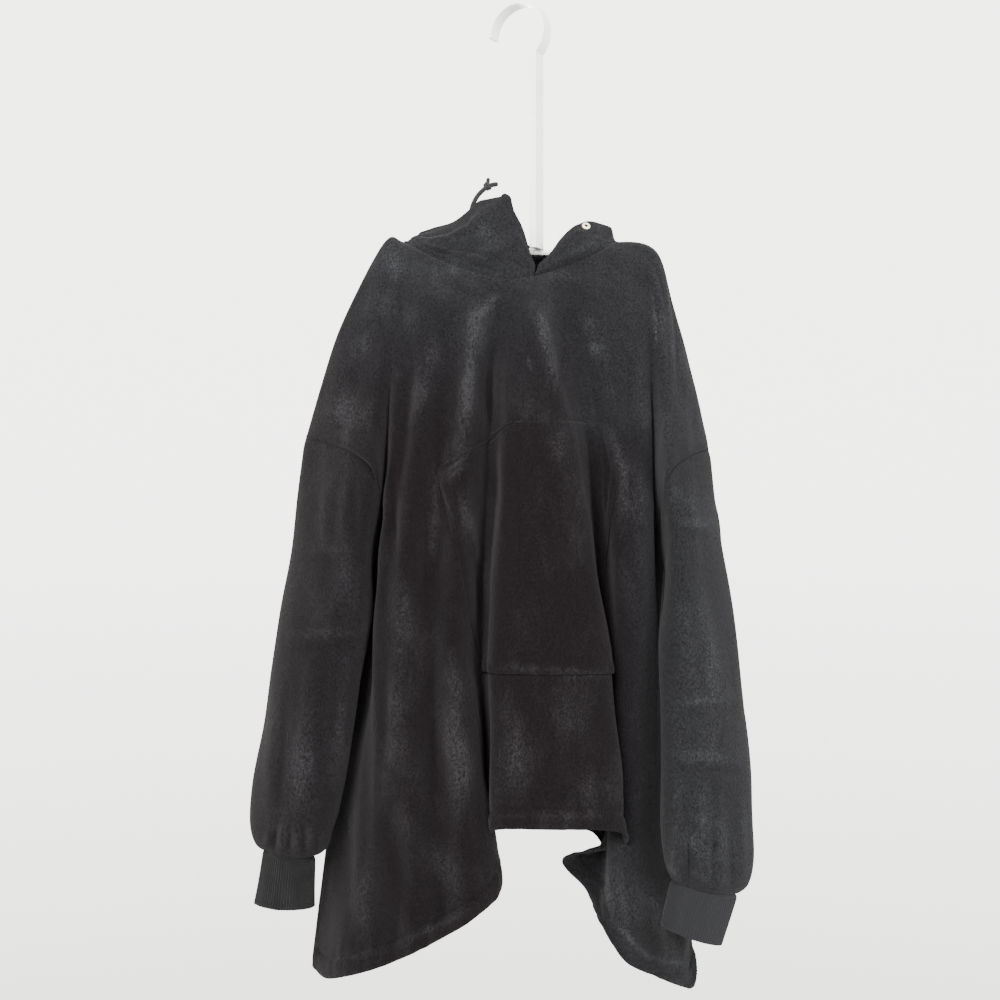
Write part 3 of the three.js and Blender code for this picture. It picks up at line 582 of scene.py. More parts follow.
# Creases on cloth that the photograph hides, along and down the cloth in mm
BACK_CREASES = table("x0 y0 x1 y1 wide high", [
    [120, 250, 150, 700, 12, 2.4],
    [175, 260, 190, 560, 9, -1.8],
    [215, 60, 222, 380, 10, 2.0],
    [260, 120, 262, 520, 9, -1.8],
    [300, 100, 296, 640, 12, 2.2],
    [345, 160, 350, 600, 9, -1.8],
    [385, 80, 380, 460, 11, 2.0],
    [430, 240, 420, 760, 12, 2.2],
    [470, 300, 468, 700, 9, -1.8],
    [520, 260, 505, 720, 11, 2.0],
    [560, 300, 556, 600, 9, -1.6],
    [160, 560, 172, 900, 10, -1.8],
    [240, 560, 250, 860, 11, 1.8],
    [330, 640, 320, 860, 9, -1.8],
    [400, 560, 410, 900, 10, -1.6],
    [90, 420, 96, 860, 10, 1.6],
    [590, 420, 580, 880, 10, 1.6],
    [200, 30, 250, 60, 9, 1.6],
    [420, 30, 372, 70, 9, 1.6],
])
SLEEVE_BACK_CREASES = table("x0 y0 x1 y1 wide high", [
    [200, 60, 215, 260, 9, 1.8],
    [240, 80, 248, 300, 9, -1.6],
    [210, 170, 290, 185, 6, 1.8],
    [215, 300, 285, 290, 6, 1.8],
    [220, 316, 280, 308, 6, -1.4],
    [230, 330, 236, 520, 10, 1.8],
    [262, 330, 270, 500, 9, -1.6],
    [290, 200, 296, 420, 9, 1.6],
    [180, 380, 190, 520, 9, 1.4],
])
HOOD_BACK_CREASES = table("x0 y0 x1 y1 wide high", [
    [40, 30, 52, 190, 11, 2.2],
    [85, 50, 92, 230, 10, -2.0],
    [130, 20, 126, 210, 10, 2.0],
    [20, 120, 90, 160, 9, 1.6],
    [60, 200, 140, 220, 9, -1.6],
    [170, 40, 150, 170, 9, 1.6],
])

# Painted highlights on the pile, along lit ridges, edges and bands, in pixels of the photograph: from, to, half width
# in pixels and how light
PAINTED_HIGHLIGHTS = table("x0 y0 x1 y1 wide high", [
    [486, 300, 472, 344, 9, 1.0],
    [472, 344, 467, 410, 8, 0.95],
    [467, 410, 456, 460, 8, 0.7],
    [433, 344, 429, 370, 8, 0.75],
    [429, 370, 413, 416, 9, 0.65],
    [539, 306, 549, 350, 9, 0.7],
    [549, 350, 560, 392, 8, 0.35],
    [556, 424, 560, 462, 9, 0.55],
    [575, 478, 580, 552, 11, 0.45],
    [609, 430, 622, 478, 6, 0.95],
    [621, 478, 622, 536, 5, 0.6],
    [625, 545, 630, 620, 8, 0.25],
    [437, 479, 434, 530, 9, 0.45],
    [462, 498, 474, 548, 8, 0.5],
    [442, 474, 470, 454, 3, 0.8],
    [440, 484, 466, 466, 3, 0.6],
    [350, 392, 344, 442, 15, 0.85],
    [366, 336, 354, 362, 9, 0.55],
    [388, 252, 404, 284, 11, 0.5],
    [330, 440, 320, 500, 12, 0.3],
    [474, 276, 540, 280, 10, 0.4],
    [430, 270, 452, 300, 14, 0.35],
    [587, 316, 589, 331, 6, 1.4],
    [594, 342, 598, 356, 6, 1.2],
    [529, 358, 531, 370, 2, 0.9],
    [652, 290, 657, 346, 3, 0.9],
    [658, 398, 664, 474, 9, 0.5],
    [680, 330, 690, 430, 13, 0.35],
    [300, 548, 322, 622, 13, 0.35],
    [345, 556, 352, 620, 11, 0.4],
    [312, 716, 300, 806, 14, 0.4],
    [342, 736, 346, 772, 9, 0.3],
    [276, 806, 284, 840, 10, 0.35],
    [400, 588, 410, 652, 11, 0.62],
    [406, 652, 390, 822, 13, 0.45],
    [450, 668, 461, 792, 14, 0.6],
    [440, 846, 457, 892, 14, 0.55],
    [352, 760, 342, 860, 12, 0.25],
    [372, 880, 362, 930, 13, 0.35],
    [338, 958, 386, 950, 4, 0.55],
    [386, 950, 478, 906, 4, 0.55],
    [540, 688, 592, 752, 15, 0.26],
    [506, 700, 520, 780, 12, 0.16],
    [500, 667, 606, 674, 4, 0.6],
    [560, 760, 600, 800, 12, 0.25],
    [496, 816, 606, 816, 3, 0.35],
    [612, 850, 628, 940, 11, 0.7],
    [648, 890, 682, 962, 14, 0.75],
    [607, 873, 612, 922, 3, 1.2],
    [612, 922, 648, 957, 3, 1.2],
    [648, 957, 692, 966, 3, 1.1],
    [570, 852, 616, 842, 8, 0.9],
    [672, 486, 716, 520, 12, 0.4],
    [676, 523, 712, 526, 3, 0.7],
    [700, 610, 716, 752, 14, 0.4],
    [680, 703, 724, 698, 3, 0.6],
    [684, 756, 736, 762, 4, 0.5],
    [690, 800, 728, 850, 14, 0.22],
    [690, 869, 712, 882, 3, 0.9],
    [664, 862, 680, 876, 3, 0.7],
    [680, 838, 700, 846, 8, 0.8],
    [704, 852, 722, 866, 8, 0.5],
    [576, 256, 614, 240, 7, 0.8],
    [430, 262, 470, 272, 8, 0.45],
    [400, 246, 428, 244, 6, 0.4],
    [472, 222, 498, 240, 13, 0.3],
])
# Painted light: parts of the photograph where the cloth is painted lighter and cooler where more light falls on it:
# how much, and the place and the stretch over which it comes in, across and down. A negative stretch runs to the left
# or upwards.
ANYWHERE = (-1000, 1)
HEM_CORNER = (555, 15, 826, 24)
LIT_AREAS = [
    (1, 590, 100, *ANYWHERE),
    (0.85, 540, 60, 470, -60),
    (0.25, 400, -60, *ANYWHERE),
    (0.75, *HEM_CORNER),
    (0.64, *ANYWHERE, 470, -190),
    (0.36, *ANYWHERE, 292, -24),
]
# Painted highlight on ridges: a ridge's height over RIDGE_LIGHT, at most RIDGE_LIGHT_MOST; then the most painted
# highlight anywhere
RIDGE_LIGHT = 9.0
RIDGE_LIGHT_MOST = 0.45
HIGHLIGHT_MOST = 1.4

# Relief
CREASE_HIGH = 1.8
CREASE_ENDS = (0.12, 0.88)  # the part of a half wave that a crease's height follows along it
UNEVEN = 0.4
WAVES = 12
WAVE_SIZES = (45, 190)
WAVE_STRETCH = 2.2
SEAM_DIP = 0.7
SEAM_WIDE = 4.0
SEAM_RISE = 0.2
SEAM_RISE_AT = 2.2
SIDE_DIP = 0.49
SIDE_FADE = 6
TOP_FADE = 14
STITCH_DIP = 1.8
STITCH_WIDE = 3.0
HEM_DEEP = 28.0
HEM_SWELL = 2.2
HEM_ROUND = 0.7
HEM_PUCKER = 0.405
HEM_WAVES = (17, 41)
HEM_REACH = 22
EDGE_REACH = 16
EDGE_SHARE = 0.6
FACING = 3  # how fast a crease fades where the cloth turns away
BEHIND_OVER = 10


def pixels(grid):
    """Where the camera sees each point: 500 + f x / d across and 500 - f z / d down, d the distance ahead."""
    ahead = 1 - grid[..., 1] / CAMERA_PLACE[1]
    across = (grid[..., 0] - CAMERA_PLACE[0]) / (MM_PER_PIXEL * ahead)
    down = (CAMERA_PLACE[2] - grid[..., 2]) / (MM_PER_PIXEL * ahead)
    return np.stack([across, down], -1) + PHOTO_SIZE / 2


def flat_places(grid):
    """Each point's own place on the cloth laid flat, in millimetres along and down."""
    return np.stack([lengths(grid, 1), lengths(grid, 0)], -1)


def creases(places, rows, scale=1):
    """Soft ridges and troughs: the sum over the rows of high exp(-(d / wide)²) sin(pi s), d the distance from
    the row's stretch and s the way along it, between CREASE_ENDS."""
    height = np.zeros(places.shape[:2])
    for x0, y0, x1, y1, wide, high in zip(*rows.values()):
        start, span = np.array([x0, y0]), np.array([x1 - x0, y1 - y0])
        share = np.clip((places - start) @ span / (span @ span), 0, 1)[..., None]
        distance = np.linalg.norm(places - start - share * span, axis=-1) * scale
        height += high * np.exp(-((distance / wide) ** 2)) * np.sin(np.pi * mix(*CREASE_ENDS, share[..., 0]))
    return height * CREASE_HIGH


def brushed(grid, crease, toward):
    """Painted highlights on the pile: the sum of the painted streaks where the cloth faces the viewer, and a
    painted highlight of a share of each ridge's height."""
    streaks = creases(pixels(grid), PAINTED_HIGHLIGHTS) / CREASE_HIGH
    return np.clip(streaks * toward + np.clip(crease / RIDGE_LIGHT, 0, RIDGE_LIGHT_MOST), 0, HIGHLIGHT_MOST)


def area(grid, high, x_from, x_over, y_from, y_over):
    """A part of the photograph, rising to high: high smooth((x - from) / over) smooth((y - from) / over)."""
    x, y = pixels(grid)[..., 0], pixels(grid)[..., 1]
    return high * smooth((x - x_from) / x_over) * smooth((y - y_from) / y_over)


def tone(grid):
    """How much painted light the cloth gets, lighter and cooler, 0 to 1: the most of its areas, with the hood's added
    to the chest's.
    """
    *areas, chest, hood = [area(grid, *row) for row in LIT_AREAS]
    return np.clip(np.max([*areas, chest + hood], axis=0), 0, 1)


def unevenness(places, seed):
    """The sum of seeded waves of WAVE_SIZES, WAVE_STRETCH times longer down the cloth than across."""
    draw = np.random.RandomState(seed)
    size, turn = draw.uniform(*WAVE_SIZES, WAVES), draw.uniform(0, 2 * np.pi, WAVES)
    phase = draw.uniform(0, 7, WAVES)
    across = places[..., :1] * np.cos(turn) / size * 2 * np.pi
    down = places[..., 1:] * np.sin(turn) / (size * WAVE_STRETCH) * 2 * np.pi
    return UNEVEN * np.sin(across + down + phase).sum(-1)


def gathers(along, sizes, seed):
    """Small puckers along a stitched line: the sum of five seeded waves of the given sizes."""
    draw = np.random.RandomState(seed)
    return sum(np.sin(along * 2 * np.pi / size + phase)
               for size, phase in zip(draw.uniform(*sizes, 5), draw.uniform(0, 7, 5)))


def dip(distance, wide=SEAM_WIDE):
    """A seam's groove, with the cloth rising a little beside it: -exp(-(d / w)²) + SEAM_RISE exp(-(d / w -
    SEAM_RISE_AT)²)."""
    return -np.exp(-((distance / wide) ** 2)) + SEAM_RISE * np.exp(-((distance / wide - SEAM_RISE_AT) ** 2))


def hem_band(grid, seed):
    """The hem's stitched line, HEM_DEEP above the edge, its turned band swelling below the line as
    sin(pi a / HEM_DEEP)^HEM_ROUND, and the short puckers that the line draws in."""
    down = lengths(grid, 0)
    above = down[-1:] - down
    line = dip(above - HEM_DEEP, STITCH_WIDE) * STITCH_DIP
    swell = HEM_SWELL * np.sin(np.pi * np.clip(above / HEM_DEEP, 0, 1)) ** HEM_ROUND
    near = np.exp(-(((above - HEM_DEEP) / HEM_REACH) ** 2)) + EDGE_SHARE * np.exp(-((above / EDGE_REACH) ** 2))
    return line + swell + HEM_PUCKER * gathers(lengths(grid, 1), HEM_WAVES, seed) * near


def moved(grid, height, closed=False):
    """The grid with every point moved out by its height."""
    return grid + outward(grid, closed) * height[..., None]


def nudged(grid, spot, reach, move, behind=-1000):
    """Cloth laid a little further over: points move by move exp(-(d / reach)²), d the distance from a spot of
    the photograph, where they lie behind a depth."""
    distance = np.linalg.norm(pixels(grid) - np.array(spot), axis=-1)
    share = np.exp(-((distance / reach) ** 2)) * smooth((grid[..., 1] - behind) / BEHIND_OVER)
    return grid + share[..., None] * np.array(move, float)


# Drawstring: the route is the hanging end's, from its eyelet up over the hood's edge into the knot
CORD = 6.5
CORD_ROUTE = np.array([
    [-76.9, -14.2, -309.2],
    [-75, -10.5, -309],
    [-72, -5, -302],
    [-68.5, -2, -291],
    [-65, -1, -278],
    [-58, 0, -265],
    [-48.7, 0, -255.8],
    [-46.4, 0, -253.5],
])
CORD_STEPS = [5] * 6 + [3]
KNOT_CENTRE = np.array([-45.0, 0, -252.1])
KNOT_AXIS = np.array([0.93, 0, 0.36])
KNOT_UP = np.array([-0.36, 0, 0.93])
KNOT_TURNS = 1.7
KNOT_LONG = 5.4
KNOT_ROUND = 3.5
KNOT_TAILS = np.array([[-43.5, -1, -240.5], [-29.5, -3, -249.5]])
KNOT_STRANDS = [3.0, 2.7, 3.3]
KNOT_STEPS = 44
TAIL_STEPS = 12
ROPE_SIDES = 20
ROPE_ASIDE = [0.1, 1.0, 0.05]  # a direction that no rope here runs along
TIP_LEAST = 0.0004


def rope(name, paths, radii, material, sides=ROPE_SIDES):
    """Round tubes along paths: each ring is p + r (cos a m + sin a n), m and n square to the path. The ends are
    drawn in to a round tip, and the UV map runs round and along."""
    corners, faces, uvs, first = [], [], [], 0
    for path, radius in zip(paths, radii):
        tangent = np.gradient(path, axis=0)
        tangent /= np.linalg.norm(tangent, axis=1, keepdims=True)
        m = np.cross(tangent, ROPE_ASIDE)
        m /= np.linalg.norm(m, axis=1, keepdims=True)
        n = np.cross(tangent, m)
        along = np.insert(np.cumsum(np.linalg.norm(np.diff(path, axis=0), axis=1)), 0, 0)
        end = np.minimum(along, along[-1] - along)
        thick = radius * np.sqrt(np.clip(1 - (1 - np.minimum(1, end / radius)) ** 2, TIP_LEAST, 1))
        turn = 2 * np.pi * np.arange(sides) / sides
        ring = np.cos(turn)[None, :, None] * m[:, None] + np.sin(turn)[None, :, None] * n[:, None]
        corners.append((path[:, None] + ring * thick[:, None, None]).reshape(-1, 3))
        r, c = np.meshgrid(np.arange(len(path) - 1), np.arange(sides), indexing="ij")
        right = (c + 1) % sides
        quad = np.stack([r * sides + c, r * sides + right, (r + 1) * sides + right, (r + 1) * sides + c], -1)
        faces.append(quad.reshape(-1, 4) + first)
        u = np.stack([c, c + 1, c + 1, c], -1) * (2 * np.pi * radius / sides)
        uvs.append(np.stack([u, along[np.stack([r, r, r + 1, r + 1], -1)]], -1).reshape(-1, 2))
        first += len(corners[-1])
    piece = new_piece(name, np.concatenate(corners), np.concatenate(faces), np.concatenate(uvs), material)
    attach(piece, "root")
    return piece


# Colours, and the sizes of patterns as waves in a metre
# Fleece: the warm ground and pile are the cloth's own colours; the lit ones are lighter, cooler copies painted where
# more light falls, and the pile colours also paint the highlights and the faint random patches
GROUND_WARM = (0.0025, 0.0017, 0.0020)
GROUND_LIT = (0.0061, 0.0061, 0.0068)
PILE_WARM = (0.0114, 0.0105, 0.0111)
PILE_LIT = (0.0152, 0.0155, 0.0168)
YARN_DARK = (0.0015, 0.0015, 0.0016)
YARN_WARM = (0.0032, 0.0032, 0.0033)
# A lighter, cooler copy of the yarn, painted where more light falls
YARN_LIT = (0.0062, 0.0062, 0.0069)
BRAID_DARK = (0.002, 0.002, 0.002)
BRAID_LIGHT = (0.007, 0.007, 0.0072)
PLASTIC_AGED = (0.46, 0.46, 0.44)
PLASTIC_WHITE = (0.53, 0.53, 0.512)
BRASS_DULL = (0.56, 0.47, 0.33)
BRASS_RUBBED = (0.78, 0.70, 0.55)
PAINT_LOW = (0.60, 0.60, 0.58)
PAINT_HIGH = (0.63, 0.63, 0.61)
SHEEN_TINT = (0.62, 0.6, 0.62, 1)
PATCHES = 24
CLUMPS = 320
PILE_ENDS = 620
KNIT_STITCHES = 130
KNIT_FUZZ = 500
KNIT_WORN = 40
BRAID_STRANDS = 170
BRAID_SLANT = 0.75
PLASTIC_PATCHES = 9
PLASTIC_SCUFFS = 160
BRASS_RUBS = 300
ROLLER_MARKS = 60


def new_material(name):
    """A new material with its node tree and its Principled shader."""
    material = bpy.data.materials.new(name)
    material.use_nodes = True
    return material, material.node_tree, material.node_tree.nodes["Principled BSDF"]


def object_place(tree):
    """Object coordinates, in metres."""
    return tree.nodes.new("ShaderNodeTexCoord").outputs["Object"]


def cloth_place(tree):
    """The piece's own map, in metres along and down it."""
    node = tree.nodes.new("ShaderNodeUVMap")
    node.uv_map = "cloth"
    return node.outputs["UV"]


def shade_of(tree, name):
    """A cloth's own shade, from its points' attribute."""
    node = tree.nodes.new("ShaderNodeAttribute")
    node.attribute_name = name
    return node.outputs["Fac"]


def set_sockets(node, values):
    """Constants on a node's own sockets."""
    for socket, value in values.items():
        node.inputs[socket].default_value = value


def mapped(tree, source, **settings):
    """Coordinates through a Mapping node."""
    node = tree.nodes.new("ShaderNodeMapping")
    set_sockets(node, settings)
    tree.links.new(source, node.inputs["Vector"])
    return node.outputs["Vector"]


def noise(tree, source, scale, detail, stretch=(1, 1, 1), rough=0.55):
    """Noise over coordinates that are stretched first."""
    node = tree.nodes.new("ShaderNodeTexNoise")
    set_sockets(node, {"Scale": scale, "Detail": detail, "Roughness": rough})
    tree.links.new(mapped(tree, source, Scale=stretch), node.inputs["Vector"])
    return node.outputs["Fac"]


def wave(tree, source, direction, **settings):
    """Bands over coordinates, along X or Y."""
    node = tree.nodes.new("ShaderNodeTexWave")
    node.bands_direction = direction
    set_sockets(node, settings)
    tree.links.new(source, node.inputs["Vector"])
    return node.outputs["Fac"]


def greys(*stops):
    """Stops of a ramp in grey."""
    return [(place, (value,) * 3) for place, value in stops]


def ramp(tree, source, stops):
    """A colour ramp over a value, from (place, colour) stops."""
    node = tree.nodes.new("ShaderNodeValToRGB")
    elements = node.color_ramp.elements
    while len(elements) < len(stops):
        elements.new(0.5)
    for element, (place, colour) in zip(elements, stops):
        element.position = place
        element.color = (*colour, 1)
    tree.links.new(source, node.inputs["Fac"])
    return node.outputs["Color"]


def joined(tree, socket, value):
    """A socket's value, or what is linked into it."""
    if isinstance(value, (int, float)):
        socket.default_value = value
    elif isinstance(value, tuple):
        socket.default_value = (*value, 1)
    else:
        tree.links.new(value, socket)


def maths(tree, operation, *values):
    """One Math node over values or outputs."""
    node = tree.nodes.new("ShaderNodeMath")
    node.operation = operation
    for socket, value in zip(node.inputs, values):
        joined(tree, socket, value)
    return node.outputs["Value"]


def spread(tree, source, middle, gain):
    """Contrast about a middle: (v - middle) gain."""
    return maths(tree, "MULTIPLY", maths(tree, "SUBTRACT", source, middle), gain)


def tint(tree, share, a, b, blend="MIX"):
    """One colour mixed over another."""
    node = tree.nodes.new("ShaderNodeMix")
    node.data_type = "RGBA"
    node.blend_type = blend
    for socket, value in (("Factor", share), ("A", a), ("B", b)):
        joined(tree, node.inputs[socket], value)
    return node.outputs["Result"]


def bump(tree, shader, height, strength, distance, before=None):
    """A Bump node on the shader's normal, over the bump before it."""
    node = tree.nodes.new("ShaderNodeBump")
    set_sockets(node, {"Strength": strength, "Distance": distance})
    tree.links.new(height, node.inputs["Height"])
    if before is not None:
        tree.links.new(before, node.inputs["Normal"])
    tree.links.new(node.outputs["Normal"], shader.inputs["Normal"])
    return node.outputs["Normal"]


def fleece(name):
    """Plush fleece: a dark warm ground with a lighter cool copy painted where more light falls, painted highlights of
    the pile in streaks and a lighter pile in faint random patches, each broken up into clumps, and a grain of pile
    ends."""
    material, tree, shader = new_material(name)
    place = object_place(tree)
    patches = noise(tree, place, PATCHES, 4, (1.5, 1.5, 0.6), 0.6)
    clumps = noise(tree, place, CLUMPS, 4, (1.1, 1.1, 0.8), 0.75)
    pile = noise(tree, place, PILE_ENDS, 2, (1, 1, 0.7), 0.6)
    broken = spread(tree, clumps, 0.22, 2.2)
    # Painted highlights: the streaks' share, broken up by clumps and patches, mixes the ground towards the pile
    # colour
    streak = maths(tree, "MULTIPLY", shade_of(tree, "brushed"), broken)
    streak = maths(tree, "MULTIPLY", streak, spread(tree, patches, 0.26, 4.2))
    faint = maths(tree, "MULTIPLY", spread(tree, patches, 0.5, 0.8), broken)
    faint = maths(tree, "MAXIMUM", faint, 0.0)
    light = maths(tree, "MINIMUM", maths(tree, "ADD", streak, faint), HIGHLIGHT_MOST)
    # Painted light: the ground and the pile are mixed towards their lit copies by the share of painted light
    ground = tint(tree, shade_of(tree, "tone"), GROUND_WARM, GROUND_LIT)
    lit = tint(tree, shade_of(tree, "tone"), PILE_WARM, PILE_LIT)
    grain = maths(tree, "MULTIPLY", maths(tree, "ADD", clumps, pile), 0.5)
    grain = ramp(tree, grain, greys((0.40, 0.30), (0.52, 0.72), (0.62, 1)))
    colour = tint(tree, 1.0, tint(tree, light, ground, lit), grain, "MULTIPLY")
    tree.links.new(colour, shader.inputs["Base Color"])
    set_sockets(shader, {"Roughness": 1.0, "Specular IOR Level": 0.04, "Sheen Weight": 0.03,
                         "Sheen Roughness": 0.5, "Sheen Tint": SHEEN_TINT})
    soft = bump(tree, shader, patches, 0.3, 0.003)
    middle = bump(tree, shader, clumps, 0.8, 0.0022, soft)
    bump(tree, shader, pile, 0.6, 0.0012, middle)
    return material


def rib_knit(name):
    """Ribbed knit: stitches up each rib, from the cloth's own map, in worn dull yarn painted lighter and cooler where
    more light falls.
    """
    material, tree, shader = new_material(name)
    stitch = wave(tree, cloth_place(tree), "Y", Scale=KNIT_STITCHES, Distortion=1.5, Detail=2)
    place = object_place(tree)
    fuzz = noise(tree, place, KNIT_FUZZ, 3)
    worn = noise(tree, place, KNIT_WORN, 3)
    colour = ramp(tree, worn, [(0.35, YARN_DARK), (0.68, YARN_WARM)])
    # Painted light: the yarn is mixed towards its lit copy where more light falls
    colour = tint(tree, shade_of(tree, "tone"), colour, YARN_LIT)
    grain = ramp(tree, stitch, greys((0.0, 0.75), (1.0, 1.15)))
    tree.links.new(tint(tree, 1.0, colour, grain, "MULTIPLY"), shader.inputs["Base Color"])
    set_sockets(shader, {"Roughness": 0.95, "Specular IOR Level": 0.04, "Sheen Weight": 0.03})
    first = bump(tree, shader, stitch, 0.4, 0.0005)
    bump(tree, shader, fuzz, 0.3, 0.0005, first)
    return material


def braid(name):
    """Braided cord: two crossing slants of yarn over the cord's own map."""
    material, tree, shader = new_material(name)
    place = cloth_place(tree)
    slants = [wave(tree, mapped(tree, place, Rotation=(0, 0, turn)), "X", Scale=BRAID_STRANDS, Distortion=0.4)
              for turn in (BRAID_SLANT, -BRAID_SLANT)]
    woven = maths(tree, "MAXIMUM", *slants)
    colour = ramp(tree, woven, [(0.2, BRAID_DARK), (0.9, BRAID_LIGHT)])
    tree.links.new(colour, shader.inputs["Base Color"])
    set_sockets(shader, {"Roughness": 0.85, "Specular IOR Level": 0.1, "Sheen Weight": 0.06})
    bump(tree, shader, woven, 0.6, 0.0006)
    return material


def moulded(name):
    """White moulded plastic: faint yellowing, fine pits and a satin gloss."""
    material, tree, shader = new_material(name)
    place = object_place(tree)
    aged = noise(tree, place, PLASTIC_PATCHES, 3)
    scuffs = noise(tree, place, PLASTIC_SCUFFS, 4, (1, 1, 0.2))
    colour = ramp(tree, aged, [(0.3, PLASTIC_AGED), (0.7, PLASTIC_WHITE)])
    tree.links.new(colour, shader.inputs["Base Color"])
    tree.links.new(ramp(tree, scuffs, greys((0.3, 0.32), (0.75, 0.5))), shader.inputs["Roughness"])
    bump(tree, shader, scuffs, 0.08, 0.0004)
    return material


def ring_metal(name):
    """Pale brassy metal, rubbed brighter in places."""
    material, tree, shader = new_material(name)
    rubbed = noise(tree, object_place(tree), BRASS_RUBS, 3)
    colour = ramp(tree, rubbed, [(0.3, BRASS_DULL), (0.7, BRASS_RUBBED)])
    tree.links.new(colour, shader.inputs["Base Color"])
    set_sockets(shader, {"Metallic": 0.9})
    tree.links.new(ramp(tree, rubbed, greys((0.3, 0.28), (0.7, 0.46))), shader.inputs["Roughness"])
    bump(tree, shader, rubbed, 0.1, 0.0002)
    return material


def floor_paint(name):
    """Matt pale paint with the faintest roller marks."""
    material, tree, shader = new_material(name)
    marks = noise(tree, object_place(tree), ROLLER_MARKS, 4)
    colour = ramp(tree, marks, [(0.3, PAINT_LOW), (0.7, PAINT_HIGH)])
    tree.links.new(colour, shader.inputs["Base Color"])
    set_sockets(shader, {"Roughness": 0.9})
    bump(tree, shader, marks, 0.05, 0.001)
    return material


# Finishes
FLEECE = fleece("plush_fleece")
RIB = rib_knit("rib_knit")
BRAID = braid("braided_cord")

# Cord and knot
route = spline(CORD_ROUTE[None], CORD_STEPS)[0]
drawstring = rope("drawstring_braid", [route], [CORD / 2], BRAID)
turn = np.linspace(0, 2 * np.pi * KNOT_TURNS, KNOT_STEPS)[:, None]
ring = KNOT_ROUND * (np.cos(turn) * KNOT_UP + np.sin(turn) * np.array([0, 1.0, 0]))
coil = KNOT_CENTRE + KNOT_AXIS * (turn / turn[-1] - 0.5) * KNOT_LONG + ring
tails = [mix(KNOT_CENTRE, tip, np.linspace(0, 1, TAIL_STEPS)[:, None]) for tip in KNOT_TAILS]
knot = rope("drawstring_knot_braid", [coil, *tails], KNOT_STRANDS, BRAID)
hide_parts("drawstring")
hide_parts("drawstring_knot")


def panel_relief(grid, places, rows, scale, seed):
    """A panel's creases and unevenness, fading at its sewn top, with grooves at its seams; and with them its
    stitched hem, both fading at the sides."""
    down, along = lengths(grid, 0), lengths(grid, 1)
    side = np.minimum(along, along[:, -1:] - along)
    height = (creases(places, rows, scale) + unevenness(flat_places(grid), seed)) * smooth(down / TOP_FADE)
    height += dip(down) * SEAM_DIP + dip(side) * SIDE_DIP
    return height, (height + hem_band(grid, seed + 1)) * smooth(side / SIDE_FADE)


front_height, front_relief = panel_relief(front, pixels(front), FRONT_CREASES, MM_PER_PIXEL, 11)
back_height, back_relief = panel_relief(back, flat_places(back), BACK_CREASES, 1, 21)
front_done, back_done = moved(front, front_relief), moved(back, back_relief)

# Sleeves and cuffs
SLEEVE_ROUND = 60  # turns a way round a sleeve into millimetres for the unevenness
SLEEVE_TOP_FADE = 18
SLEEVE_END_FADE = 5
SLEEVE_DIP = 0.56
RIBS = 64
RIB_HIGH = 0.42
RIB_FADE = 7
CUFF_DIP = 0.9
CUFF_DIP_WIDE = 3
CUFF_SWAY = 12.7  # places of the sleeve's ring to a radian of the cuff's sway
CUFF_SEED = 41


def tube_relief(grid, toward, rows, hidden, seed):
    """A sleeve's creases: those seen, on the side that faces the viewer, those on the far side and unevenness,
    fading at the armhole and the cuff, whose seams are grooves."""
    flat = flat_places(grid)
    down = flat[..., 1]
    up = down[-1:] - down
    turn = np.arange(grid.shape[1]) / grid.shape[1]
    around = np.stack(np.broadcast_arrays(np.sin(2 * np.pi * turn) * SLEEVE_ROUND, down), -1)
    height = creases(pixels(grid), rows, MM_PER_PIXEL) * toward
    height += creases(flat, hidden) * (1 - toward) + unevenness(around, seed)
    return height * smooth(down / SLEEVE_TOP_FADE) * smooth(up / SLEEVE_END_FADE) + (dip(down) + dip(up)) * SLEEVE_DIP


def cuff_grid(rows, side, sleeve):
    """A cuff's rings from the sleeve's last one, drawn finer, with RIBS round ribs that fade in below the seam."""
    place = np.arange(CUFF_ROUND) * len(sleeve) / CUFF_ROUND
    whole, part = place.astype(int), (place % 1)[:, None]
    sewn = mix(sleeve[whole], sleeve[(whole + 1) % len(sleeve)], part)
    grid = tube_grid(rows, side, sewn, CUFF_CELLS, CUFF_CELLS)
    ribs = RIB_HIGH * np.cos(2 * np.pi * RIBS * np.arange(CUFF_ROUND) / CUFF_ROUND)[None]
    down = lengths(grid, 0)
    around = np.stack(np.broadcast_arrays(SLEEVE_ROUND * np.sin(place[None] / CUFF_SWAY), down), -1)
    sway = unevenness(around, CUFF_SEED)
    seam = CUFF_DIP * np.exp(-((down / CUFF_DIP_WIDE) ** 2))
    return moved(grid, (ribs + sway) * smooth(down / RIB_FADE) - seam, True)


# Hood
CASING_DEEP = 24.0
CASING_DIP = 0.6
CASING_FADE = 30
NECK_FADE = 16
HOOD_SIDE_FADE = 8
HOOD_BEHIND = 20
HOOD_BEHIND_OVER = 30
EYELETS = np.array([[-78, -18, -307], [91.6, -25.7, -312.7]])
EYELET_OUT = 8.0


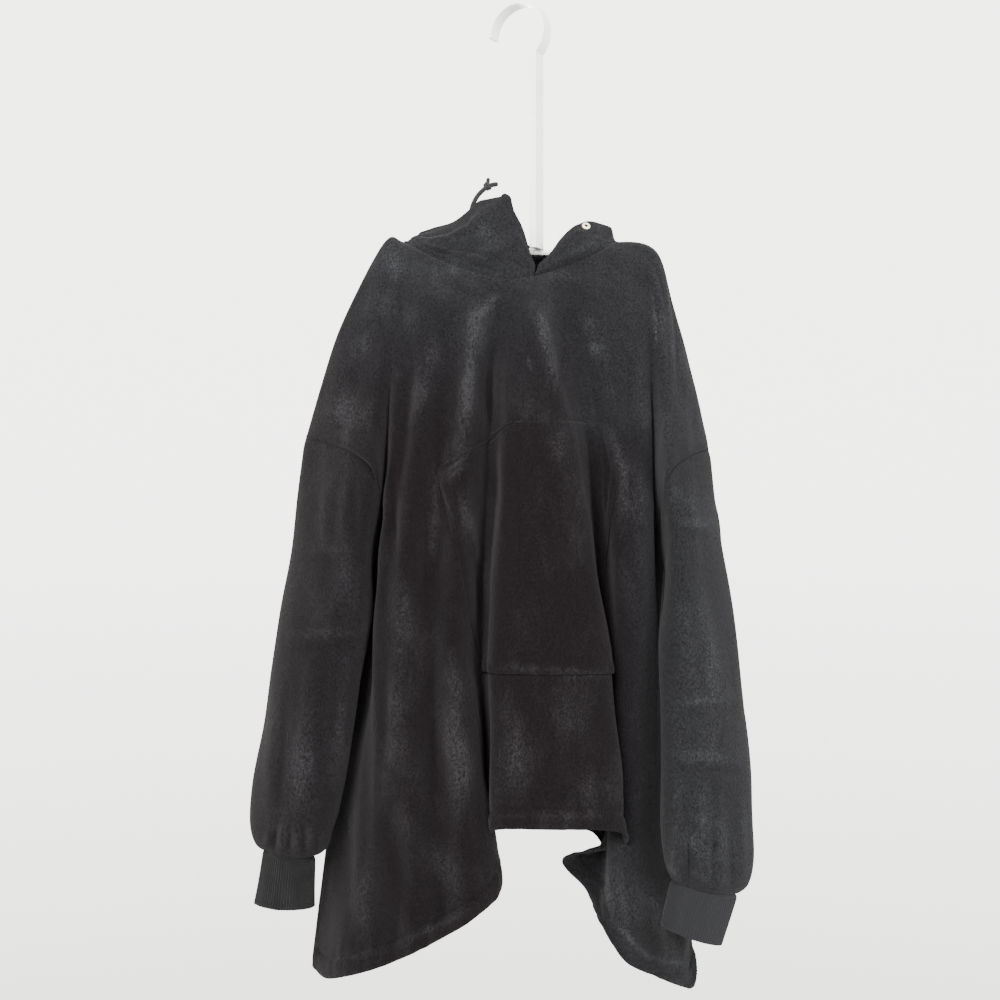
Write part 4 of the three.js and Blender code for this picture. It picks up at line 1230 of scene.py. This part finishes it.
def hood_relief(grid, seam_first, seed):
    """A hood half's creases towards the viewer, those behind, its stitched casing at the rim and its seams, all
    calm round an eyelet."""
    toward = np.clip(-outward(grid)[..., 1] * FACING, -1, 1)
    flat = flat_places(grid)
    from_rim = flat[..., 1]
    from_neck = from_rim[-1:] - from_rim
    ends = (flat[..., 0], flat[:, -1:, 0] - flat[..., 0])
    from_seam, from_front = ends if seam_first else ends[::-1]
    behind = smooth((grid[..., 1] - HOOD_BEHIND) / HOOD_BEHIND_OVER)
    height = creases(pixels(grid), HOOD_CREASES, MM_PER_PIXEL) * toward
    height += creases(flat, HOOD_BACK_CREASES) * behind + unevenness(flat, seed)
    height *= smooth(from_neck / NECK_FADE) * smooth(from_seam / HOOD_SIDE_FADE) * smooth(from_front / HOOD_SIDE_FADE)
    casing = dip(from_rim - CASING_DEEP, STITCH_WIDE) * CASING_DIP * smooth(from_neck / CASING_FADE)
    away = np.linalg.norm(grid[:, :, None] - EYELETS, axis=-1).min(-1)
    calm = smooth((away - EYELET_OUT) / EYELET_OUT)
    return (height + casing + (dip(from_neck) + dip(from_seam)) * SEAM_DIP) * calm


# Pocket
POCKET_OUT = FLEECE_WALL / 2 + 0.3 + POCKET_WALL / 2
POCKET_SLANT = np.linspace(2.11, 2.5, 34)
POCKET_STRAIGHT = np.linspace(2.5, 3.2, 62)
POCKET_ACROSS = np.linspace(0, 1, 121)
POCKET_BAND = 14.0
POCKET_PUCKER = 0.36
POCKET_WAVES = (15, 37)
POCKET_SEED = 51
POCKET_SEAM_UP = 6
POCKET_SEAM_REACH = 9
POCKET_CORNER_ROW = 30
POCKET_CORNER_OVER = 6
SIDE_STITCH_IN = 4
SIDE_STITCH_DIP = 0.6
EDGE_ROLL = 0.6
EDGE_ROLL_WIDE = 2.5


def pocket_grid(panel):
    """The pouch's points, [down, across]: the panel's own points between the pouch's left and right edge at
    each height, moved out by the two half walls and the gap between them."""
    down = np.concatenate([POCKET_SLANT[:-1], POCKET_STRAIGHT])
    left = np.interp(down, POCKET_EDGES["down"], POCKET_EDGES["left"])
    right = np.interp(down, POCKET_EDGES["down"], POCKET_EDGES["right"])
    across = mix(left[:, None], right[:, None], POCKET_ACROSS[None]) * FOLD_CELLS
    row = np.interp(down, np.arange(len(ROW_CELLS) + 1), np.cumsum([0, *ROW_CELLS]))[:, None]
    row = np.broadcast_to(row, across.shape)
    r, c = row.astype(int), across.astype(int)
    sheet = panel + outward(panel) * POCKET_OUT
    top = mix(sheet[r, c], sheet[r, c + 1], (across - c)[..., None])
    low = mix(sheet[r + 1, c], sheet[r + 1, c + 1], (across - c)[..., None])
    return mix(top, low, (row - r)[..., None])


def pocket_relief(grid):
    """The pouch's stitched opening bands, the puckers over its bottom seam, and its rolled edges."""
    along, down = lengths(grid, 1), lengths(grid, 0)
    above = down[-1:] - down
    side = np.minimum(along, along[:, -1:] - along)
    seam = np.exp(-(((above - POCKET_SEAM_UP) / POCKET_SEAM_REACH) ** 2))
    slanted = 1 - smooth((np.arange(len(grid)) - POCKET_CORNER_ROW) / POCKET_CORNER_OVER)[:, None]
    height = POCKET_PUCKER * (gathers(along, POCKET_WAVES, POCKET_SEED) + 2) * seam
    height += dip(side - POCKET_BAND, STITCH_WIDE) * STITCH_DIP * slanted
    height += dip(side - SIDE_STITCH_IN, STITCH_WIDE) * SIDE_STITCH_DIP * (1 - slanted)
    return height - EDGE_ROLL * np.exp(-((np.minimum(side, above) / EDGE_ROLL_WIDE) ** 2))


left_toward, right_toward = (smooth(-outward(grid, True)[..., 1] * FACING) for grid in (left_sleeve, right_sleeve))
left_relief = tube_relief(left_sleeve, left_toward, LEFT_SLEEVE_CREASES, SLEEVE_BACK_CREASES, 31)
right_relief = tube_relief(right_sleeve, right_toward, RIGHT_SLEEVE_CREASES, SLEEVE_BACK_CREASES, 32)
left_sleeve = moved(left_sleeve, left_relief, True)
right_sleeve = moved(right_sleeve, right_relief, True)
left_hood = moved(left_hood, hood_relief(left_hood, True, 33))
right_hood = moved(right_hood, hood_relief(right_hood, False, 34))

# Sleeves over the side seams, the hood's peak lower and steeper, and its back roll below the neck's edge
left_sleeve = nudged(left_sleeve, (370, 555), 55, (8, 0, 0))
right_sleeve = nudged(right_sleeve, (666, 555), 55, (-8, 0, 0))
left_hood = nudged(left_hood, (507, 191), 6, (0, 0, -5))
left_hood = nudged(left_hood, (515, 209), 12, (-5, 0, 0))
right_hood = nudged(right_hood, (550, 247), 13, (0, 0, -16), behind=15)
pouch = pocket_grid(front_done)
pouch = moved(pouch, pocket_relief(pouch))


def fleece_piece(name, grid, relief=0.0, wall=FLEECE_WALL, closed=False, toward=1.0):
    """A piece of fleece with its painted highlights and painted light."""
    return cloth(name, grid, wall, FLEECE, closed, brushed=brushed(grid, relief, toward), tone=tone(grid))


def cuff_piece(name, grid):
    """A ribbed cuff with the painted light of its side."""
    return cloth(name, grid, CUFF_WALL, RIB, True, tone=tone(grid))


pieces = {
    "front": fleece_piece("front_panel", front_done, front_height),
    # The back's inside at the hem corner gets painted highlights, standing in for the light on the turned band there
    "back": fleece_piece("back_panel", back_done, back_height, toward=area(back, 1, *HEM_CORNER)),
    "sleeve_left": fleece_piece("left_sleeve", left_sleeve, left_relief, closed=True, toward=left_toward),
    "sleeve_right": fleece_piece("right_sleeve", right_sleeve, right_relief, closed=True, toward=right_toward),
    "cuff_left": cuff_piece("left_cuff", cuff_grid(LEFT_CUFF, -1, left_sleeve[-1])),
    "cuff_right": cuff_piece("right_cuff", cuff_grid(RIGHT_CUFF, 1, right_sleeve[-1])),
    "hood_left": fleece_piece("left_hood_half", left_hood),
    "hood_right": fleece_piece("right_hood_half", right_hood),
    "pocket": fleece_piece("pouch_pocket", pouch, wall=POCKET_WALL),
}
# The model's parts that the built pieces stand in for are hidden
for node, piece in pieces.items():
    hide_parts(node)

for node, look in (("hanger", moulded("white_plastic")), ("eyelet_left", ring_metal("brass_left")),
                   ("eyelet_right", ring_metal("brass_right"))):
    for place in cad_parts[node].material_slots:
        place.material = look

# Room, in metres
FLOOR_REACH = 1.1
FLOOR_Z = -1.9
WALL_LOW = (0.50, 0.49, 0.475)
WALL_MIDDLE = (0.88, 0.872, 0.85)
WALL_TOP = (0.90, 0.90, 0.87)
WALL_HEIGHTS = (0.30, 0.5, 0.68)
ROOM_LIGHT = 5.2
LIGHTS = [
    ("key", (-0.7, -2.4, 0.3), (0, 0, -0.7), 1.0, 330, (1, 1, 1)),
    ("fill", (1.5, -1.8, -0.3), (0, 0, -0.8), 1.0, 110, (0.93, 0.96, 1.0)),
    ("back", (0.3, 2.0, 0.2), (0, 0, -0.7), 1.2, 190, (1, 1, 1)),
]


def floor():
    """A pale floor below the hanging garment."""
    mesh = bpy.data.meshes.new("floor")
    corners = [(x * FLOOR_REACH, y * FLOOR_REACH, FLOOR_Z) for x, y in ((-1, -1), (1, -1), (1, 1), (-1, 1))]
    mesh.from_pydata(corners, [], [(0, 1, 2, 3)])
    mesh.materials.append(floor_paint("floor_paint"))
    plane = bpy.data.objects.new("floor", mesh)
    bpy.context.collection.objects.link(plane)


def area_light(name, place, aim, size, watts, colour):
    """A square soft light that looks at a point."""
    data = bpy.data.lights.new(name, "AREA")
    data.size, data.energy, data.color = size, watts, colour
    light = bpy.data.objects.new(name, data)
    light.location = place
    x, y, z = np.array(aim) - np.array(place)
    light.rotation_euler = (math.acos(-z / math.hypot(x, y, z)), 0, math.atan2(y, x) - math.pi / 2)
    bpy.context.collection.objects.link(light)


def pale_surroundings():
    """A pale room: brighter above, greyer below, by the height of the direction looked in."""
    world = bpy.data.worlds.new("pale_room")
    bpy.context.scene.world = world
    world.use_nodes = True
    tree = world.node_tree
    parts = tree.nodes.new("ShaderNodeSeparateXYZ")
    tree.links.new(tree.nodes.new("ShaderNodeTexCoord").outputs["Generated"], parts.inputs["Vector"])
    half = maths(tree, "MULTIPLY_ADD", parts.outputs["Z"], 0.5, 0.5)
    colour = ramp(tree, half, list(zip(WALL_HEIGHTS, (WALL_LOW, WALL_MIDDLE, WALL_TOP))))
    tree.links.new(colour, tree.nodes["Background"].inputs["Color"])
    set_sockets(tree.nodes["Background"], {"Strength": ROOM_LIGHT})


pale_surroundings()
floor()
for row in LIGHTS:
    area_light(*row)
